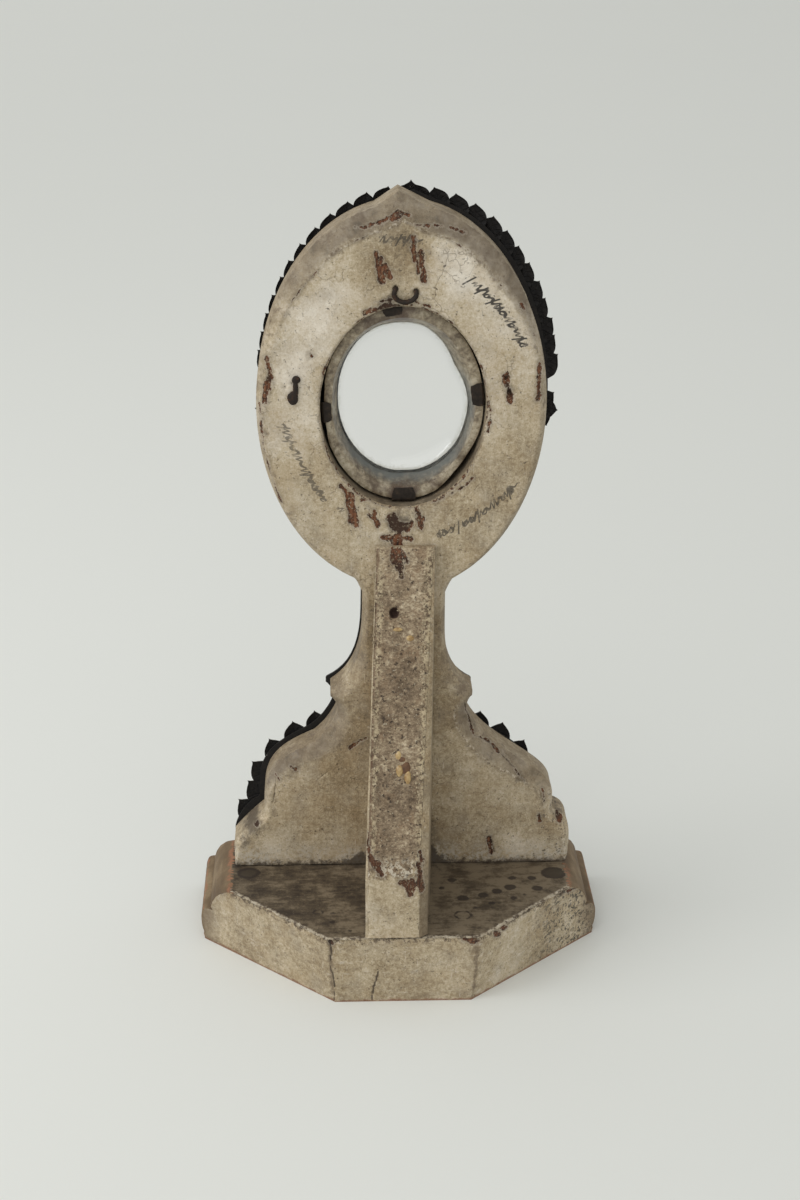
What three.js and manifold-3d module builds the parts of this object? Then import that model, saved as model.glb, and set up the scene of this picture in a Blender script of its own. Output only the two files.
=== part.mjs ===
// A small standing reliquary: a carved and painted wooden back board with an oval
// opening, held upright on a moulded plinth by a strut, and faced with embossed silver
// sheet. A domed glass closes the opening from inside. Millimetres, +Z up, the silver
// front looks along -Y, and the origin is the middle of the underside.
import * as THREE from "three";
import { mergeVertices } from "three/addons/utils/BufferGeometryUtils.js";
import Module from "manifold-3d";

const wasm = await Module();
wasm.setup();

// Driving dimensions
const gap = 0.3;

const plinth = {
  height: 26.4,
  topHalfWidth: 62.6,
  topFront: -29.6,
  back: 42,
  backHalfAtTop: 27.8,
  backHalfAtFoot: 24.6,
  chamferEndX: 75.2,
  chamferEndY: -2.6,
  cornerRadius: 2,
};

// How far the side and front mouldings stand out past the top, from the foot upward
const plinthMoulding = [
  { z: 0, out: 11.3 },
  { z: 2.6, out: 11.9 },
  { z: 6, out: 12.5 },
  { z: 10.5, out: 12.5 },
  { z: 13, out: 11.7 },
  { z: 13.9, out: 9.9 },
  { z: 14.3, out: 8.1 },
  { z: 15.4, out: 8.8 },
  { z: 18, out: 8.1 },
  { z: 21, out: 6.6 },
  { z: 23.6, out: 4.5 },
  { z: 25.4, out: 2 },
  { z: 26.4, out: 0 },
];

const board = { back: -9.7, thickness: 14.5, edgeWear: 1.6 };
board.front = board.back - board.thickness;

// The board is hand cut, so its two sides differ
const boardForm = {
  head: { x: -0.4, z: 207, halfWidth: 50.3, rise: 70 },
  peak: { x: 1, z: 281.2, halfWidth: 9.5 },
  neck: { x: -1.5, halfWidth: 14.9, top: 138.6, foot: 126 },
  sides: [
    {
      side: 1,
      drop: 68,
      base: 61.8,
      torus: 62.2,
      torusTop: 35.5,
      torusBulge: 0.1,
      riser: 50.4,
      shoulderTop: 72.5,
      shoulderBend: 41,
      slopeX: 31.5,
      slopeZ: 77.1,
      waist: 22.6,
      cusp: 25.3,
    },
    {
      side: -1,
      drop: 69.5,
      base: 63.6,
      torus: 65,
      torusTop: 34,
      torusBulge: 1,
      riser: 58,
      shoulderTop: 66,
      shoulderBend: 49,
      slopeX: 37.6,
      slopeZ: 74.7,
      waist: 24.8,
      cusp: 27,
    },
  ],
};

// The sheet follows the board closely but is the same on both sides
const sheetSide = {
  drop: 67.5,
  base: 60.5,
  torus: 61.4,
  torusTop: 34.5,
  torusBulge: 0.5,
  riser: 52,
  shoulderTop: 72,
  shoulderBend: 43,
  slopeX: 33.5,
  slopeZ: 77.6,
  waist: 24.3,
  cusp: 27.1,
};
const sheetForm = {
  head: { x: 0, z: 207.4, halfWidth: 50.4, rise: 70 },
  peak: { x: -1.4, z: 279.4, halfWidth: 9 },
  neck: { x: 0, halfWidth: 14.5, top: 139.6, foot: 126 },
  sides: [
    { ...sheetSide, side: 1 },
    { ...sheetSide, side: -1 },
  ],
};

// Heights that both outlines share
const riserFootZ = 47.6;
const riserTopZ = 54;
const waistZ = 89.8;
const cuspZ = 97;

// The worn bevel round the back of the board: wider at the top and along the right shoulder
const bevel = { side: 2.2, top: 4.6, shoulder: 4.2, depth: 3.4 };

const opening = { x: -0.9, z: 206.7, halfWidth: 28.8, halfHeight: 36 };

const glass = { x: -1.2, z: 206.8, halfWidth: 27.2, halfHeight: 34.2, wall: 1.6, rimDepth: 5.6 };

const strut = {
  top: 156.6,
  topDepth: 2.6,
  bendZ: 55.5,
  rootLeftFoot: 11.5,
  rootLeftTop: 8.5,
  rootRight: -12.5,
  backLeftFoot: 13.7,
  backRightFoot: -6.4,
  arrisWear: 2,
};

// Wire hanging loop, open at its top
const loop = { x: -1.2, z: 247.5, halfWidth: 3.8, halfHeight: 2.8, wireRadius: 0.85, holeRadius: 1.7 };
const loopStart = THREE.MathUtils.degToRad(35);
const loopEnd = THREE.MathUtils.degToRad(-195);

// Metal tabs that hold the glass, by their angle round the opening
const tab = { sheet: 0.5, leg: 5 };
const tabs = [
  { name: "tab_top", angle: 82, width: 7, lap: 3.4 },
  { name: "tab_left", angle: -4, width: 7.6, lap: 3.6 },
  { name: "tab_right", angle: 174, width: 8.4, lap: 4.6 },
  { name: "tab_bottom", angle: -91, width: 8.6, lap: 5 },
];

const nail = { x: 35.9, z: 214.2, length: 7, radius: 0.75, proud: 0.8 };

// The silver sheet leans a little to one side of the board
const sheet = { thickness: 1, bed: 0.4, lean: -0.0155, footX: 1.4 };

// Its relief, in the sheet's own plane. Two rosettes part the upper wreath, whose leaves
// run out past the edge, from the garlands under them.
const windowHole = { y: 207, halfWidth: 24.3, halfHeight: 29.3 };
const ovalRing = { y: 209, halfWidth: 33, halfHeight: 46, halfBand: 1.3, height: 2.8 };
const rays = { count: 24, innerX: 28, innerY: 33, overlap: 1, halfWidth: 1.9, height: 1 };
const wreath = { x: -0.9, y: 210.4, halfWidth: 44.2, halfHeight: 62.7 };
const garland = { x: -0.4, y: 208, halfWidth: 41.5, halfHeight: 60 };
const rosettes = { x: -0.4, y: 200, apart: 44.2, radius: 8.1, petals: 8 };
const crest = { y: 268.4, length: 14.5, width: 11.5, ridge: 3, curl: 0.9, bed: 0.47 };
const neckBars = [
  { y: 139.5, halfLength: 13.4, halfHeight: 2, height: 2.6 },
  { y: 114.6, halfLength: 13.8, halfHeight: 2, height: 2.6 },
];
const neckBoss = { y: 127, halfWidth: 7.4, halfHeight: 8.6, height: 4.6 };
const pendant = { y: 110.5, width: 9.8, leans: [-58, 58, -30, 30, 0], lengths: [14, 14, 20, 20, 27] };
const roundBoss = { y: 58, radius: 15.5, height: 5 };
const bossRing = { y: 58, halfWidth: 18.4, halfHeight: 18.4, halfBand: 1.2, height: 2.6 };
const footBar = { y: 30.6, halfLength: 58, halfHeight: 2.2, height: 2.8 };

// One node for each physical piece
const reliquary = new THREE.Group();

function finish(color, roughness, metalness) {
  return new THREE.MeshStandardMaterial({ color, roughness, metalness });
}

const gessoPaint = finish(0xb3a88f, 0.8, 0);
const mouldingPaint = finish(0x9a8668, 0.6, 0.1);
const dustyPaint = finish(0x958a78, 0.95, 0);
const tarnishedSilver = finish(0x8f8d86, 0.35, 1);
const clearGlass = new THREE.MeshStandardMaterial({
  color: 0xdfe8e6,
  roughness: 0.05,
  metalness: 0,
  transparent: true,
  opacity: 0.3,
});
const darkTin = finish(0x2b2622, 0.6, 0.8);
const darkIron = finish(0x3a2c24, 0.7, 0.8);

// Geometry helpers
function toSolid(geometry) {
  const plain = geometry.clone();
  plain.deleteAttribute("normal");
  plain.deleteAttribute("uv");
  const merged = mergeVertices(plain, 1e-4);
  const vertProperties = new Float32Array(merged.attributes.position.array);
  const corners = merged.index.array;
  const triangles = [];
  for (let i = 0; i < corners.length; i += 3) {
    const [a, b, c] = corners.slice(i, i + 3);
    if (a !== b && b !== c && c !== a) {
      triangles.push(a, b, c);
    }
  }
  const triVerts = new Uint32Array(triangles);
  return new wasm.Manifold(new wasm.Mesh({ numProp: 3, vertProperties, triVerts }));
}

function toGeometry(solid) {
  const mesh = solid.getMesh();
  const geometry = new THREE.BufferGeometry();
  geometry.setAttribute("position", new THREE.BufferAttribute(mesh.vertProperties, 3));
  geometry.setIndex(new THREE.BufferAttribute(mesh.triVerts, 1));
  return geometry;
}

function joinAll(solids) {
  return solids.reduce((whole, piece) => whole.add(piece));
}

function addPiece(name, geometry, material) {
  const mesh = new THREE.Mesh(geometry, material);
  mesh.name = name;
  reliquary.add(mesh);
  return mesh;
}

// A closed body through rings of equal length, each level in z and listed anticlockwise
function loft(rings) {
  const count = rings[0].length;
  const positions = rings.flat().flatMap((p) => [p.x, p.y, p.z]);
  const index = [];
  for (let level = 0; level + 1 < rings.length; level += 1) {
    for (let i = 0; i < count; i += 1) {
      const a = level * count + i;
      const b = level * count + ((i + 1) % count);
      index.push(a, b, b + count, a, b + count, a + count);
    }
  }
  const last = (rings.length - 1) * count;
  for (const [a, b, c] of THREE.ShapeUtils.triangulateShape(rings[0], [])) {
    index.push(c, b, a);
  }
  for (const [a, b, c] of THREE.ShapeUtils.triangulateShape(rings.at(-1), [])) {
    index.push(last + a, last + b, last + c);
  }
  const geometry = new THREE.BufferGeometry();
  geometry.setAttribute("position", new THREE.Float32BufferAttribute(positions, 3));
  geometry.setIndex(index);
  return geometry;
}

// Things drawn in the XY plane and raised in +Z are stood up to face the front
function standUp(geometry) {
  return geometry.rotateX(Math.PI / 2);
}

function ellipsePoints(x, y, halfWidth, halfHeight, segments) {
  return new THREE.EllipseCurve(x, y, halfWidth, halfHeight).getPoints(segments).slice(0, -1);
}

function ellipsePrism(x, y, halfWidth, halfHeight, segments, from, to) {
  const shape = new THREE.Shape(ellipsePoints(x, y, halfWidth, halfHeight, segments));
  const prism = new THREE.ExtrudeGeometry(shape, { depth: to - from, bevelEnabled: false });
  return prism.translate(0, 0, from);
}

function blend(from, to, share) {
  return from + (to - from) * share;
}

// Plinth: mouldings on the front and sides, cut off by plain faces at the back
function plinthRing({ z, out }) {
  const halfWidth = plinth.topHalfWidth + out;
  const front = plinth.topFront - out;
  const backHalf = blend(plinth.backHalfAtFoot, plinth.backHalfAtTop, z / plinth.height);
  const along = (halfWidth - backHalf) / (plinth.chamferEndX - backHalf);
  const sideY = blend(plinth.back, plinth.chamferEndY, along);
  const radius = plinth.cornerRadius;
  const corner = new THREE.EllipseCurve(
    halfWidth - radius, front + radius, radius, radius, -Math.PI / 2, 0,
  ).getPoints(3);
  const rightHalf = [
    ...corner,
    new THREE.Vector2(halfWidth, sideY),
    new THREE.Vector2(backHalf, plinth.back),
  ];
  const leftHalf = rightHalf.map((p) => new THREE.Vector2(-p.x, p.y)).reverse();
  return [...rightHalf, ...leftHalf].map((p) => new THREE.Vector3(p.x, p.y, z));
}

addPiece("plinth", loft(plinthMoulding.map(plinthRing)), mouldingPaint);

// Outline: an oval head with a small peak on a waisted, cusped foot
function traceFootUp(path, foot, neck) {
  const s = foot.side;
  const neckX = neck.x + s * neck.halfWidth;
  path.moveTo(s * foot.base, plinth.height + gap);
  path.quadraticCurveTo(s * foot.torus, 29, s * foot.torus, foot.torusTop);
  path.bezierCurveTo(
    s * (foot.torus - 2 + 2 * foot.torusBulge), blend(37.5, 42, foot.torusBulge),
    s * (foot.riser + 3 + 3 * foot.torusBulge), blend(45, 46, foot.torusBulge),
    s * foot.riser, riserFootZ,
  );
  path.lineTo(s * foot.riser, riserTopZ);
  path.bezierCurveTo(
    s * foot.riser, foot.shoulderTop - 4,
    s * foot.shoulderBend, foot.shoulderTop,
    s * foot.slopeX, foot.slopeZ,
  );
  path.quadraticCurveTo(s * (foot.waist + 3), 82, s * foot.waist, waistZ);
  path.quadraticCurveTo(s * foot.waist, cuspZ - 3, s * foot.cusp, cuspZ - 1);
  path.lineTo(s * foot.cusp, cuspZ + 1);
  path.bezierCurveTo(s * 19, 102, neckX, 110, neckX, neck.foot);
  path.lineTo(neckX, neck.top);
}

function traceHeadUp(path, { side, drop }, { head, neck, peak }) {
  const neckX = neck.x + side * neck.halfWidth;
  const softened = 0.05;
  const neckAngle = Math.acos(Math.abs(neckX - head.x) / head.halfWidth) - softened;
  const peakAngle = Math.acos(peak.halfWidth / head.halfWidth);
  const steps = 22;
  for (let i = 0; i <= steps; i += 1) {
    const angle = blend(-neckAngle, peakAngle, i / steps);
    const reach = angle < 0 ? drop : head.rise;
    path.lineTo(
      head.x + side * head.halfWidth * Math.cos(angle), head.z + reach * Math.sin(angle),
    );
  }
}

function sidePoints(form, foot) {
  const path = new THREE.Path();
  traceFootUp(path, foot, form.neck);
  traceHeadUp(path, foot, form);
  return path.getPoints(5);
}

function formOutline(form) {
  const [left, right] = form.sides;
  const apex = new THREE.Vector2(form.peak.x, form.peak.z);
  return [...sidePoints(form, left), apex, ...sidePoints(form, right).reverse()];
}

// Moves each outline point inward along the mean of its two edge normals
function inset(points, widthAt) {
  return points.map((point, i) => {
    const before = points[(i + points.length - 1) % points.length];
    const after = points[(i + 1) % points.length];
    const along = new THREE.Vector2().subVectors(after, before).normalize();
    const inward = new THREE.Vector2(-along.y, along.x);
    return point.clone().addScaledVector(inward, widthAt(point));
  });
}

function bevelWidth(point) {
  const clearOfPlinth = THREE.MathUtils.smoothstep(point.y, plinth.height + 1, 34);
  const risen = THREE.MathUtils.smoothstep(point.y, 235, 272);
  const onRightShoulder = point.x < -30 && point.y > 52 && point.y < 82;
  const atCuspOrNeck = point.y > 84 && point.y < 142;
  if (onRightShoulder) {
    return bevel.shoulder;
  }
  if (atCuspOrNeck) {
    return board.edgeWear;
  }
  return clearOfPlinth * blend(bevel.side, bevel.top, risen);
}

function level(points, z) {
  return points.map((p) => new THREE.Vector3(p.x, p.y, z));
}

const outline = formOutline(boardForm);
const backLevel = -board.back;
const frontLevel = -board.front;
const boardRings = [
  level(inset(outline, bevelWidth), backLevel),
  level(inset(outline, (p) => bevelWidth(p) * 0.45), backLevel + bevel.depth * 0.3),
  level(outline, backLevel + bevel.depth),
  level(outline, frontLevel),
];

// The loop hugs the back of the board and its two ends turn in through holes
function loopPoint(angle, depth) {
  return new THREE.Vector3(
    loop.x + loop.halfWidth * Math.cos(angle),
    board.back + depth,
    loop.z + loop.halfHeight * Math.sin(angle),
  );
}

function circleShape(radius, sides) {
  return new THREE.Shape(ellipsePoints(0, 0, radius, radius, sides));
}

function hangingLoop() {
  const proud = loop.wireRadius + gap;
  const arcSteps = 8;
  const points = [loopPoint(loopStart, -3.2), loopPoint(loopStart, -1)];
  for (let i = 0; i <= arcSteps; i += 1) {
    const lift = i === 0 || i === arcSteps ? 0.4 : 0;
    points.push(loopPoint(blend(loopStart, loopEnd, i / arcSteps), proud + lift));
  }
  points.push(loopPoint(loopEnd, -1), loopPoint(loopEnd, -3.2));
  return new THREE.ExtrudeGeometry(circleShape(loop.wireRadius, 7), {
    steps: 16,
    extrudePath: new THREE.CatmullRomCurve3(points, false, "catmullrom", 0.35),
  });
}

function wireHole(angle) {
  const hole = new THREE.CylinderGeometry(loop.holeRadius, loop.holeRadius, 9, 10);
  const place = loopPoint(angle, 0);
  return toSolid(hole.translate(place.x, place.y, place.z));
}

const boardBody = toSolid(standUp(loft(boardRings)));
const boardHole = toSolid(
  standUp(
    ellipsePrism(
      opening.x, opening.z, opening.halfWidth, opening.halfHeight, 44,
      backLevel - 2, frontLevel + 2,
    ),
  ),
);
const backBoard = boardBody
  .subtract(boardHole)
  .subtract(wireHole(loopStart))
  .subtract(wireHole(loopEnd));
addPiece("back_board", toGeometry(backBoard), gessoPaint);
addPiece("hanging_loop", hangingLoop(), darkIron);

// Strut: a wedge from the neck down to a block flush with the back of the plinth
function strutRing(z, depth) {
  const share = (z - plinth.height) / (strut.top - plinth.height);
  const reach = depth / (plinth.back - board.back);
  const root = board.back + gap;
  const back = board.back + depth;
  const rootLeft = blend(strut.rootLeftFoot, strut.rootLeftTop, share);
  const backLeft = blend(strut.rootLeftTop, strut.backLeftFoot, reach);
  const backRight = blend(strut.rootRight, strut.backRightFoot, reach);
  const wear = strut.arrisWear * reach + 0.3;
  const corners = [
    [strut.rootRight, root],
    [rootLeft, root],
    [backLeft, back - wear * 0.4],
    [backLeft - wear * 0.4, back],
    [backRight, back],
    [backRight - wear, back - wear],
  ];
  return corners.map(([x, y]) => new THREE.Vector3(x, y, z));
}

const fullDepth = plinth.back - board.back;
addPiece(
  "strut",
  loft([
    strutRing(plinth.height + gap, fullDepth),
    strutRing(strut.bendZ - 5, fullDepth),
    strutRing(strut.bendZ + 5, fullDepth - 3.2),
    strutRing(strut.top - 2, strut.topDepth + 1),
    strutRing(strut.top, strut.topDepth - 0.8),
  ]),
  dustyPaint,
);

// Domed glass: a flat rim, a steep flank and a gently rounded crown toward the front.
// Radii are shares of the oval's half size, depths run from the back of the board.
function glassDome() {
  const rim = glass.rimDepth;
  const wall = glass.wall;
  const profile = [
    [0, 20.4],
    [0.42, 19.6],
    [0.7, 18.2],
    [0.82, 15.6],
    [0.93, rim + wall],
    [1, rim + wall],
    [1, rim],
    [0.9, rim],
    [0.77, 14.6],
    [0.66, 16.8],
    [0.4, 18.1],
    [0, 18.8],
  ];
  const points = profile.map(([share, depth]) => new THREE.Vector2(share, depth));
  const dome = new THREE.LatheGeometry(points.reverse(), 32);
  dome.scale(glass.halfWidth, 1, glass.halfHeight);
  dome.scale(1, -1, -1);
  return dome.translate(glass.x, board.back, glass.z);
}

addPiece("window_glass", toGeometry(toSolid(glassDome())), clearGlass);

// The tabs come up between the glass and the wood and are bent over the rim
function bentTab({ width, lap }) {
  const profile = new THREE.Shape();
  profile.moveTo(0, 0);
  profile.lineTo(-tab.leg, 0);
  profile.lineTo(-tab.leg, -tab.sheet);
  profile.lineTo(-tab.sheet, -tab.sheet);
  profile.lineTo(-tab.sheet, -lap);
  profile.lineTo(0, -lap);
  profile.closePath();
  const strip = new THREE.ExtrudeGeometry(profile, { depth: width, bevelEnabled: false });
  return strip.translate(0, 0, -width / 2);
}

for (const place of tabs) {
  const angle = THREE.MathUtils.degToRad(place.angle);
  const wallX = opening.halfWidth * Math.cos(angle);
  const wallZ = opening.halfHeight * Math.sin(angle);
  const outward = new THREE.Vector3(
    wallX / opening.halfWidth ** 2, 0, wallZ / opening.halfHeight ** 2,
  ).normalize();
  const back = new THREE.Vector3(0, 1, 0);
  const across = new THREE.Vector3().crossVectors(back, outward);
  const bendRadius = opening.halfWidth ** 2 * opening.halfHeight ** 2
    * (wallX ** 2 / opening.halfWidth ** 4 + wallZ ** 2 / opening.halfHeight ** 4) ** 1.5;
  const clearance = gap + place.width ** 2 / (8 * bendRadius);
  const mesh = addPiece(place.name, bentTab(place), darkTin);
  mesh.applyMatrix4(new THREE.Matrix4().makeBasis(back, outward, across));
  mesh.position.set(
    opening.x + wallX - outward.x * clearance,
    board.back - glass.rimDepth + gap + tab.sheet,
    opening.z + wallZ - outward.z * clearance,
  );
}

// A nail whose point came through the board and was hammered over: it lies flat
function clinchedNail() {
  const shank = new THREE.CylinderGeometry(nail.radius, nail.radius, nail.length, 8);
  const knob = new THREE.CylinderGeometry(1.3, 1.6, 2 * nail.proud, 10);
  const point = new THREE.SphereGeometry(1, 10, 6).scale(1.9, nail.proud, 2.7);
  shank.rotateX(Math.PI / 2);
  knob.translate(0, 0, nail.length / 2);
  point.rotateY(-0.5).translate(1.3, 0, -nail.length / 2 + 0.4);
  return joinAll([toSolid(knob), toSolid(shank), toSolid(point)]);
}

const nailPiece = addPiece("clinched_nail", toGeometry(clinchedNail()), darkIron);
nailPiece.position.set(nail.x, board.back + nail.proud + gap, nail.z);

// Embossed silver, drawn in the XY plane and raised toward +Z. A leaf is a low peak on
// a pointed outline that stands in the sheet; its tip curls up where it passes the edge.
function leaf({ length, width, ridge, curl, bed }) {
  const positions = [
    [0.3 * width, 0.08 * length, bed],
    [0.5 * width, 0.56 * length, bed],
    [0, length, bed + curl],
    [-0.5 * width, 0.56 * length, bed],
    [-0.3 * width, 0.08 * length, bed],
    [0, 0.6 * length, sheet.thickness + ridge],
  ].flat();
  const geometry = new THREE.BufferGeometry();
  geometry.setAttribute("position", new THREE.Float32BufferAttribute(positions, 3));
  const peaked = [0, 1, 5, 1, 2, 5, 2, 3, 5, 3, 4, 5, 4, 0, 5];
  const under = [0, 4, 3, 0, 3, 1, 1, 3, 2];
  geometry.setIndex([...peaked, ...under]);
  return geometry;
}

// Bundles of three leaves along a stem, growing from its start to its end
function leafRow(stem, side, { count, length, width, spread, from, to }) {
  const solids = [];
  for (let i = 0; i < count; i += 1) {
    const share = i / (count - 1);
    const at = blend(from, to, share);
    const point = stem.getPointAt(at);
    const heading = stem.getTangentAt(at);
    const size = blend(length.start, length.end, share);
    const turn = Math.atan2(heading.y, heading.x) - Math.PI / 2;
    const bundle = [
      { lean: -side * spread, reach: 1, ridge: 1.8 },
      { lean: side * spread, reach: 0.86, ridge: 1.8 },
      { lean: 0, reach: 0.94, ridge: 2.5 },
    ];
    bundle.forEach(({ lean, reach, ridge }, k) => {
      const geometry = leaf({
        length: size * reach,
        width: width * (size / length.end),
        ridge,
        curl: k === 0 ? 0.9 : 0.3,
        bed: 0.2 + 0.017 * ((5 * i + 7 * k) % 19) + (side > 0 ? 0.006 : 0),
      });
      geometry.rotateZ(turn + THREE.MathUtils.degToRad(lean));
      solids.push(toSolid(geometry.translate(point.x, point.y, 0)));
    });
  }
  return solids;
}

// A raised oval moulding: the profile is [distance outward from the oval, height]
function ovalMoulding({ x = 0, y, halfWidth, halfHeight, segments, profile }) {
  const rows = profile.map(([out, height]) => {
    const points = ellipsePoints(x, y, halfWidth + out, halfHeight + out, segments);
    return points.map((p) => [p.x, p.y, height]);
  });
  const index = [];
  for (let r = 0; r < rows.length; r += 1) {
    const next = (r + 1) % rows.length;
    for (let i = 0; i < segments; i += 1) {
      const j = (i + 1) % segments;
      const a = r * segments + i;
      const b = r * segments + j;
      const c = next * segments + j;
      const d = next * segments + i;
      index.push(a, b, c, a, c, d);
    }
  }
  const geometry = new THREE.BufferGeometry();
  geometry.setAttribute("position", new THREE.Float32BufferAttribute(rows.flat(2), 3));
  geometry.setIndex(index);
  return toSolid(geometry);
}

// A band round an oval with a ridge along its middle
function ridgedBand({ halfBand, height, ...oval }, segments) {
  const shoulder = height * 0.7;
  const profile = [
    [-halfBand, sheet.bed],
    [halfBand, sheet.bed],
    [halfBand, shoulder],
    [0, height],
    [-halfBand, shoulder],
  ];
  return ovalMoulding({ ...oval, segments, profile });
}

// A raised boss: a shallow dome that stands in the sheet
function boss({ x = 0, y, halfWidth, halfHeight, height }, segments) {
  const points = [new THREE.Vector2(0, sheet.bed), new THREE.Vector2(1, sheet.bed)];
  const steps = 5;
  const footAngle = THREE.MathUtils.degToRad(8);
  for (let i = 0; i <= steps; i += 1) {
    const angle = blend(footAngle, Math.PI / 2, i / steps);
    const radius = i === steps ? 0 : Math.cos(angle);
    points.push(new THREE.Vector2(radius, blend(sheet.bed, height, Math.sin(angle))));
  }
  const dome = new THREE.LatheGeometry(points, segments).rotateX(Math.PI / 2);
  return toSolid(dome.scale(halfWidth, halfHeight, 1).translate(x, y, 0));
}

function roundBossAt(x, y, radius, height, segments) {
  return boss({ x, y, halfWidth: radius, halfHeight: radius, height }, segments);
}

// A rosette: a round plate with petals about a small boss
function flower(x, y) {
  const { radius, petals } = rosettes;
  const solids = [roundBossAt(x, y, radius, 2.1, 16)];
  for (let i = 0; i < petals; i += 1) {
    const bed = 0.5 + 0.03 * (i % 2);
    const petal = leaf({ length: radius, width: radius * 0.7, ridge: 2.6, curl: 0.3, bed });
    petal.rotateZ((i / petals) * 2 * Math.PI + 0.2);
    solids.push(toSolid(petal.translate(x, y, 0)));
  }
  solids.push(roundBossAt(x, y, radius * 0.28, 4.2, 10));
  return solids;
}

// A rounded bar across the sheet
function bar({ y, halfLength, halfHeight, height }) {
  const section = new THREE.Shape();
  section.moveTo(-halfHeight, sheet.bed);
  section.lineTo(halfHeight, sheet.bed);
  section.lineTo(halfHeight, height * 0.6);
  section.quadraticCurveTo(0, height * 1.3, -halfHeight, height * 0.6);
  const length = { depth: 2 * halfLength, bevelEnabled: false, curveSegments: 4 };
  const geometry = new THREE.ExtrudeGeometry(section, length);
  geometry.translate(0, 0, -halfLength).rotateY(Math.PI / 2).rotateX(Math.PI / 2);
  return toSolid(geometry.translate(0, y, 0));
}

// A narrow ray between two points, peaked along its middle
function ray(from, to) {
  const along = new THREE.Vector2().subVectors(to, from).normalize();
  const across = new THREE.Vector2(-along.y, along.x);
  const peak = sheet.thickness + rays.height;
  const near = from.clone().addScaledVector(across, rays.halfWidth);
  const nearOther = from.clone().addScaledVector(across, -rays.halfWidth);
  const farPeak = to.clone().addScaledVector(along, -2);
  const positions = [
    near.x, near.y, sheet.bed,
    nearOther.x, nearOther.y, sheet.bed,
    to.x, to.y, sheet.bed,
    from.x, from.y, peak,
    farPeak.x, farPeak.y, peak - 0.4,
  ];
  const geometry = new THREE.BufferGeometry();
  geometry.setAttribute("position", new THREE.Float32BufferAttribute(positions, 3));
  geometry.setIndex([0, 2, 1, 0, 1, 3, 1, 2, 4, 1, 4, 3, 2, 0, 3, 2, 3, 4]);
  return toSolid(geometry);
}

function raysRoundWindow() {
  const solids = [];
  for (let i = 0; i < rays.count; i += 1) {
    const angle = ((i + 0.5) / rays.count) * 2 * Math.PI;
    const outX = ovalRing.halfWidth + rays.overlap;
    const outY = ovalRing.halfHeight + rays.overlap;
    const x = Math.cos(angle);
    const y = Math.sin(angle);
    const inner = new THREE.Vector2(x * rays.innerX, windowHole.y + y * rays.innerY);
    const outer = new THREE.Vector2(x * outX, ovalRing.y + y * outY);
    solids.push(ray(inner, outer));
  }
  return solids;
}

// Stems of the leaf rows
function ovalStem({ x, y, halfWidth, halfHeight }, side, fromDegrees, toDegrees) {
  const points = [];
  const steps = 12;
  for (let i = 0; i <= steps; i += 1) {
    const angle = THREE.MathUtils.degToRad(blend(fromDegrees, toDegrees, i / steps));
    const across = side * halfWidth * Math.cos(angle);
    points.push(new THREE.Vector2(x + across, y + halfHeight * Math.sin(angle)));
  }
  return new THREE.SplineCurve(points);
}

function shoulderStem(side) {
  return new THREE.SplineCurve([
    new THREE.Vector2(side * 52, 33),
    new THREE.Vector2(side * 47.5, 43),
    new THREE.Vector2(side * 46, 55),
    new THREE.Vector2(side * 39.8, 66),
    new THREE.Vector2(side * 29, 73),
    new THREE.Vector2(side * 20, 82),
  ]);
}

function sheetPlate() {
  const edge = formOutline(sheetForm);
  return toSolid(loft([level(edge, 0), level(edge, sheet.thickness)]));
}

function leafRows(side) {
  const upper = {
    count: 11,
    length: { start: 13.4, end: 11 },
    width: 7.8,
    spread: 44,
    from: 0,
    to: 0.96,
  };
  const lower = {
    count: 6,
    length: { start: 10, end: 11.6 },
    width: 8.4,
    spread: 40,
    from: 0,
    to: 1,
  };
  const shoulder = {
    count: 6,
    length: { start: 12.4, end: 9.4 },
    width: 7,
    spread: 50,
    from: 0.06,
    to: 0.8,
  };
  return [
    ...leafRow(ovalStem(wreath, side, 5, 86), side, upper),
    ...leafRow(ovalStem(garland, side, -74, -20), side, lower),
    ...leafRow(shoulderStem(side), side, shoulder),
  ];
}

function windowBezel() {
  const profile = [[-0.6, 0.3], [4.6, 0.3], [4.6, 1.9], [3.2, 4.4], [1, 5], [-0.6, 3]];
  return ovalMoulding({ ...windowHole, segments: 36, profile });
}

function pendantLobes() {
  return pendant.leans.map((lean, i) => {
    const length = pendant.lengths[i];
    const ridge = 2 + 0.35 * i;
    const lobe = leaf({ length, width: pendant.width, ridge, curl: 0, bed: 0.2 + 0.07 * i });
    lobe.rotateZ(Math.PI + THREE.MathUtils.degToRad(lean));
    return toSolid(lobe.translate(0, pendant.y, 0));
  });
}

function silverFront() {
  const crestLeaf = leaf(crest).rotateZ(0.1).translate(0, crest.y, 0);
  const whole = joinAll([
    sheetPlate(),
    ...leafRows(1),
    ...leafRows(-1),
    ...flower(rosettes.x + rosettes.apart, rosettes.y),
    ...flower(rosettes.x - rosettes.apart, rosettes.y),
    toSolid(crestLeaf),
    windowBezel(),
    ridgedBand(ovalRing, 36),
    ...raysRoundWindow(),
    ...neckBars.map(bar),
    boss(neckBoss, 14),
    ...pendantLobes(),
    roundBossAt(0, roundBoss.y, roundBoss.radius, roundBoss.height, 20),
    ridgedBand(bossRing, 28),
    bar(footBar),
  ]);
  const { y, halfWidth, halfHeight } = windowHole;
  const cutWindow = whole.subtract(toSolid(ellipsePrism(0, y, halfWidth, halfHeight, 36, -2, 12)));
  const leaning = toGeometry(cutWindow).rotateZ(-sheet.lean).translate(sheet.footX, 0, 0);
  const belowSheet = new THREE.BoxGeometry(200, 60, 60);
  belowSheet.translate(0, plinth.height + gap - 30, 0);
  return toSolid(leaning).subtract(toSolid(belowSheet));
}

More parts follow.
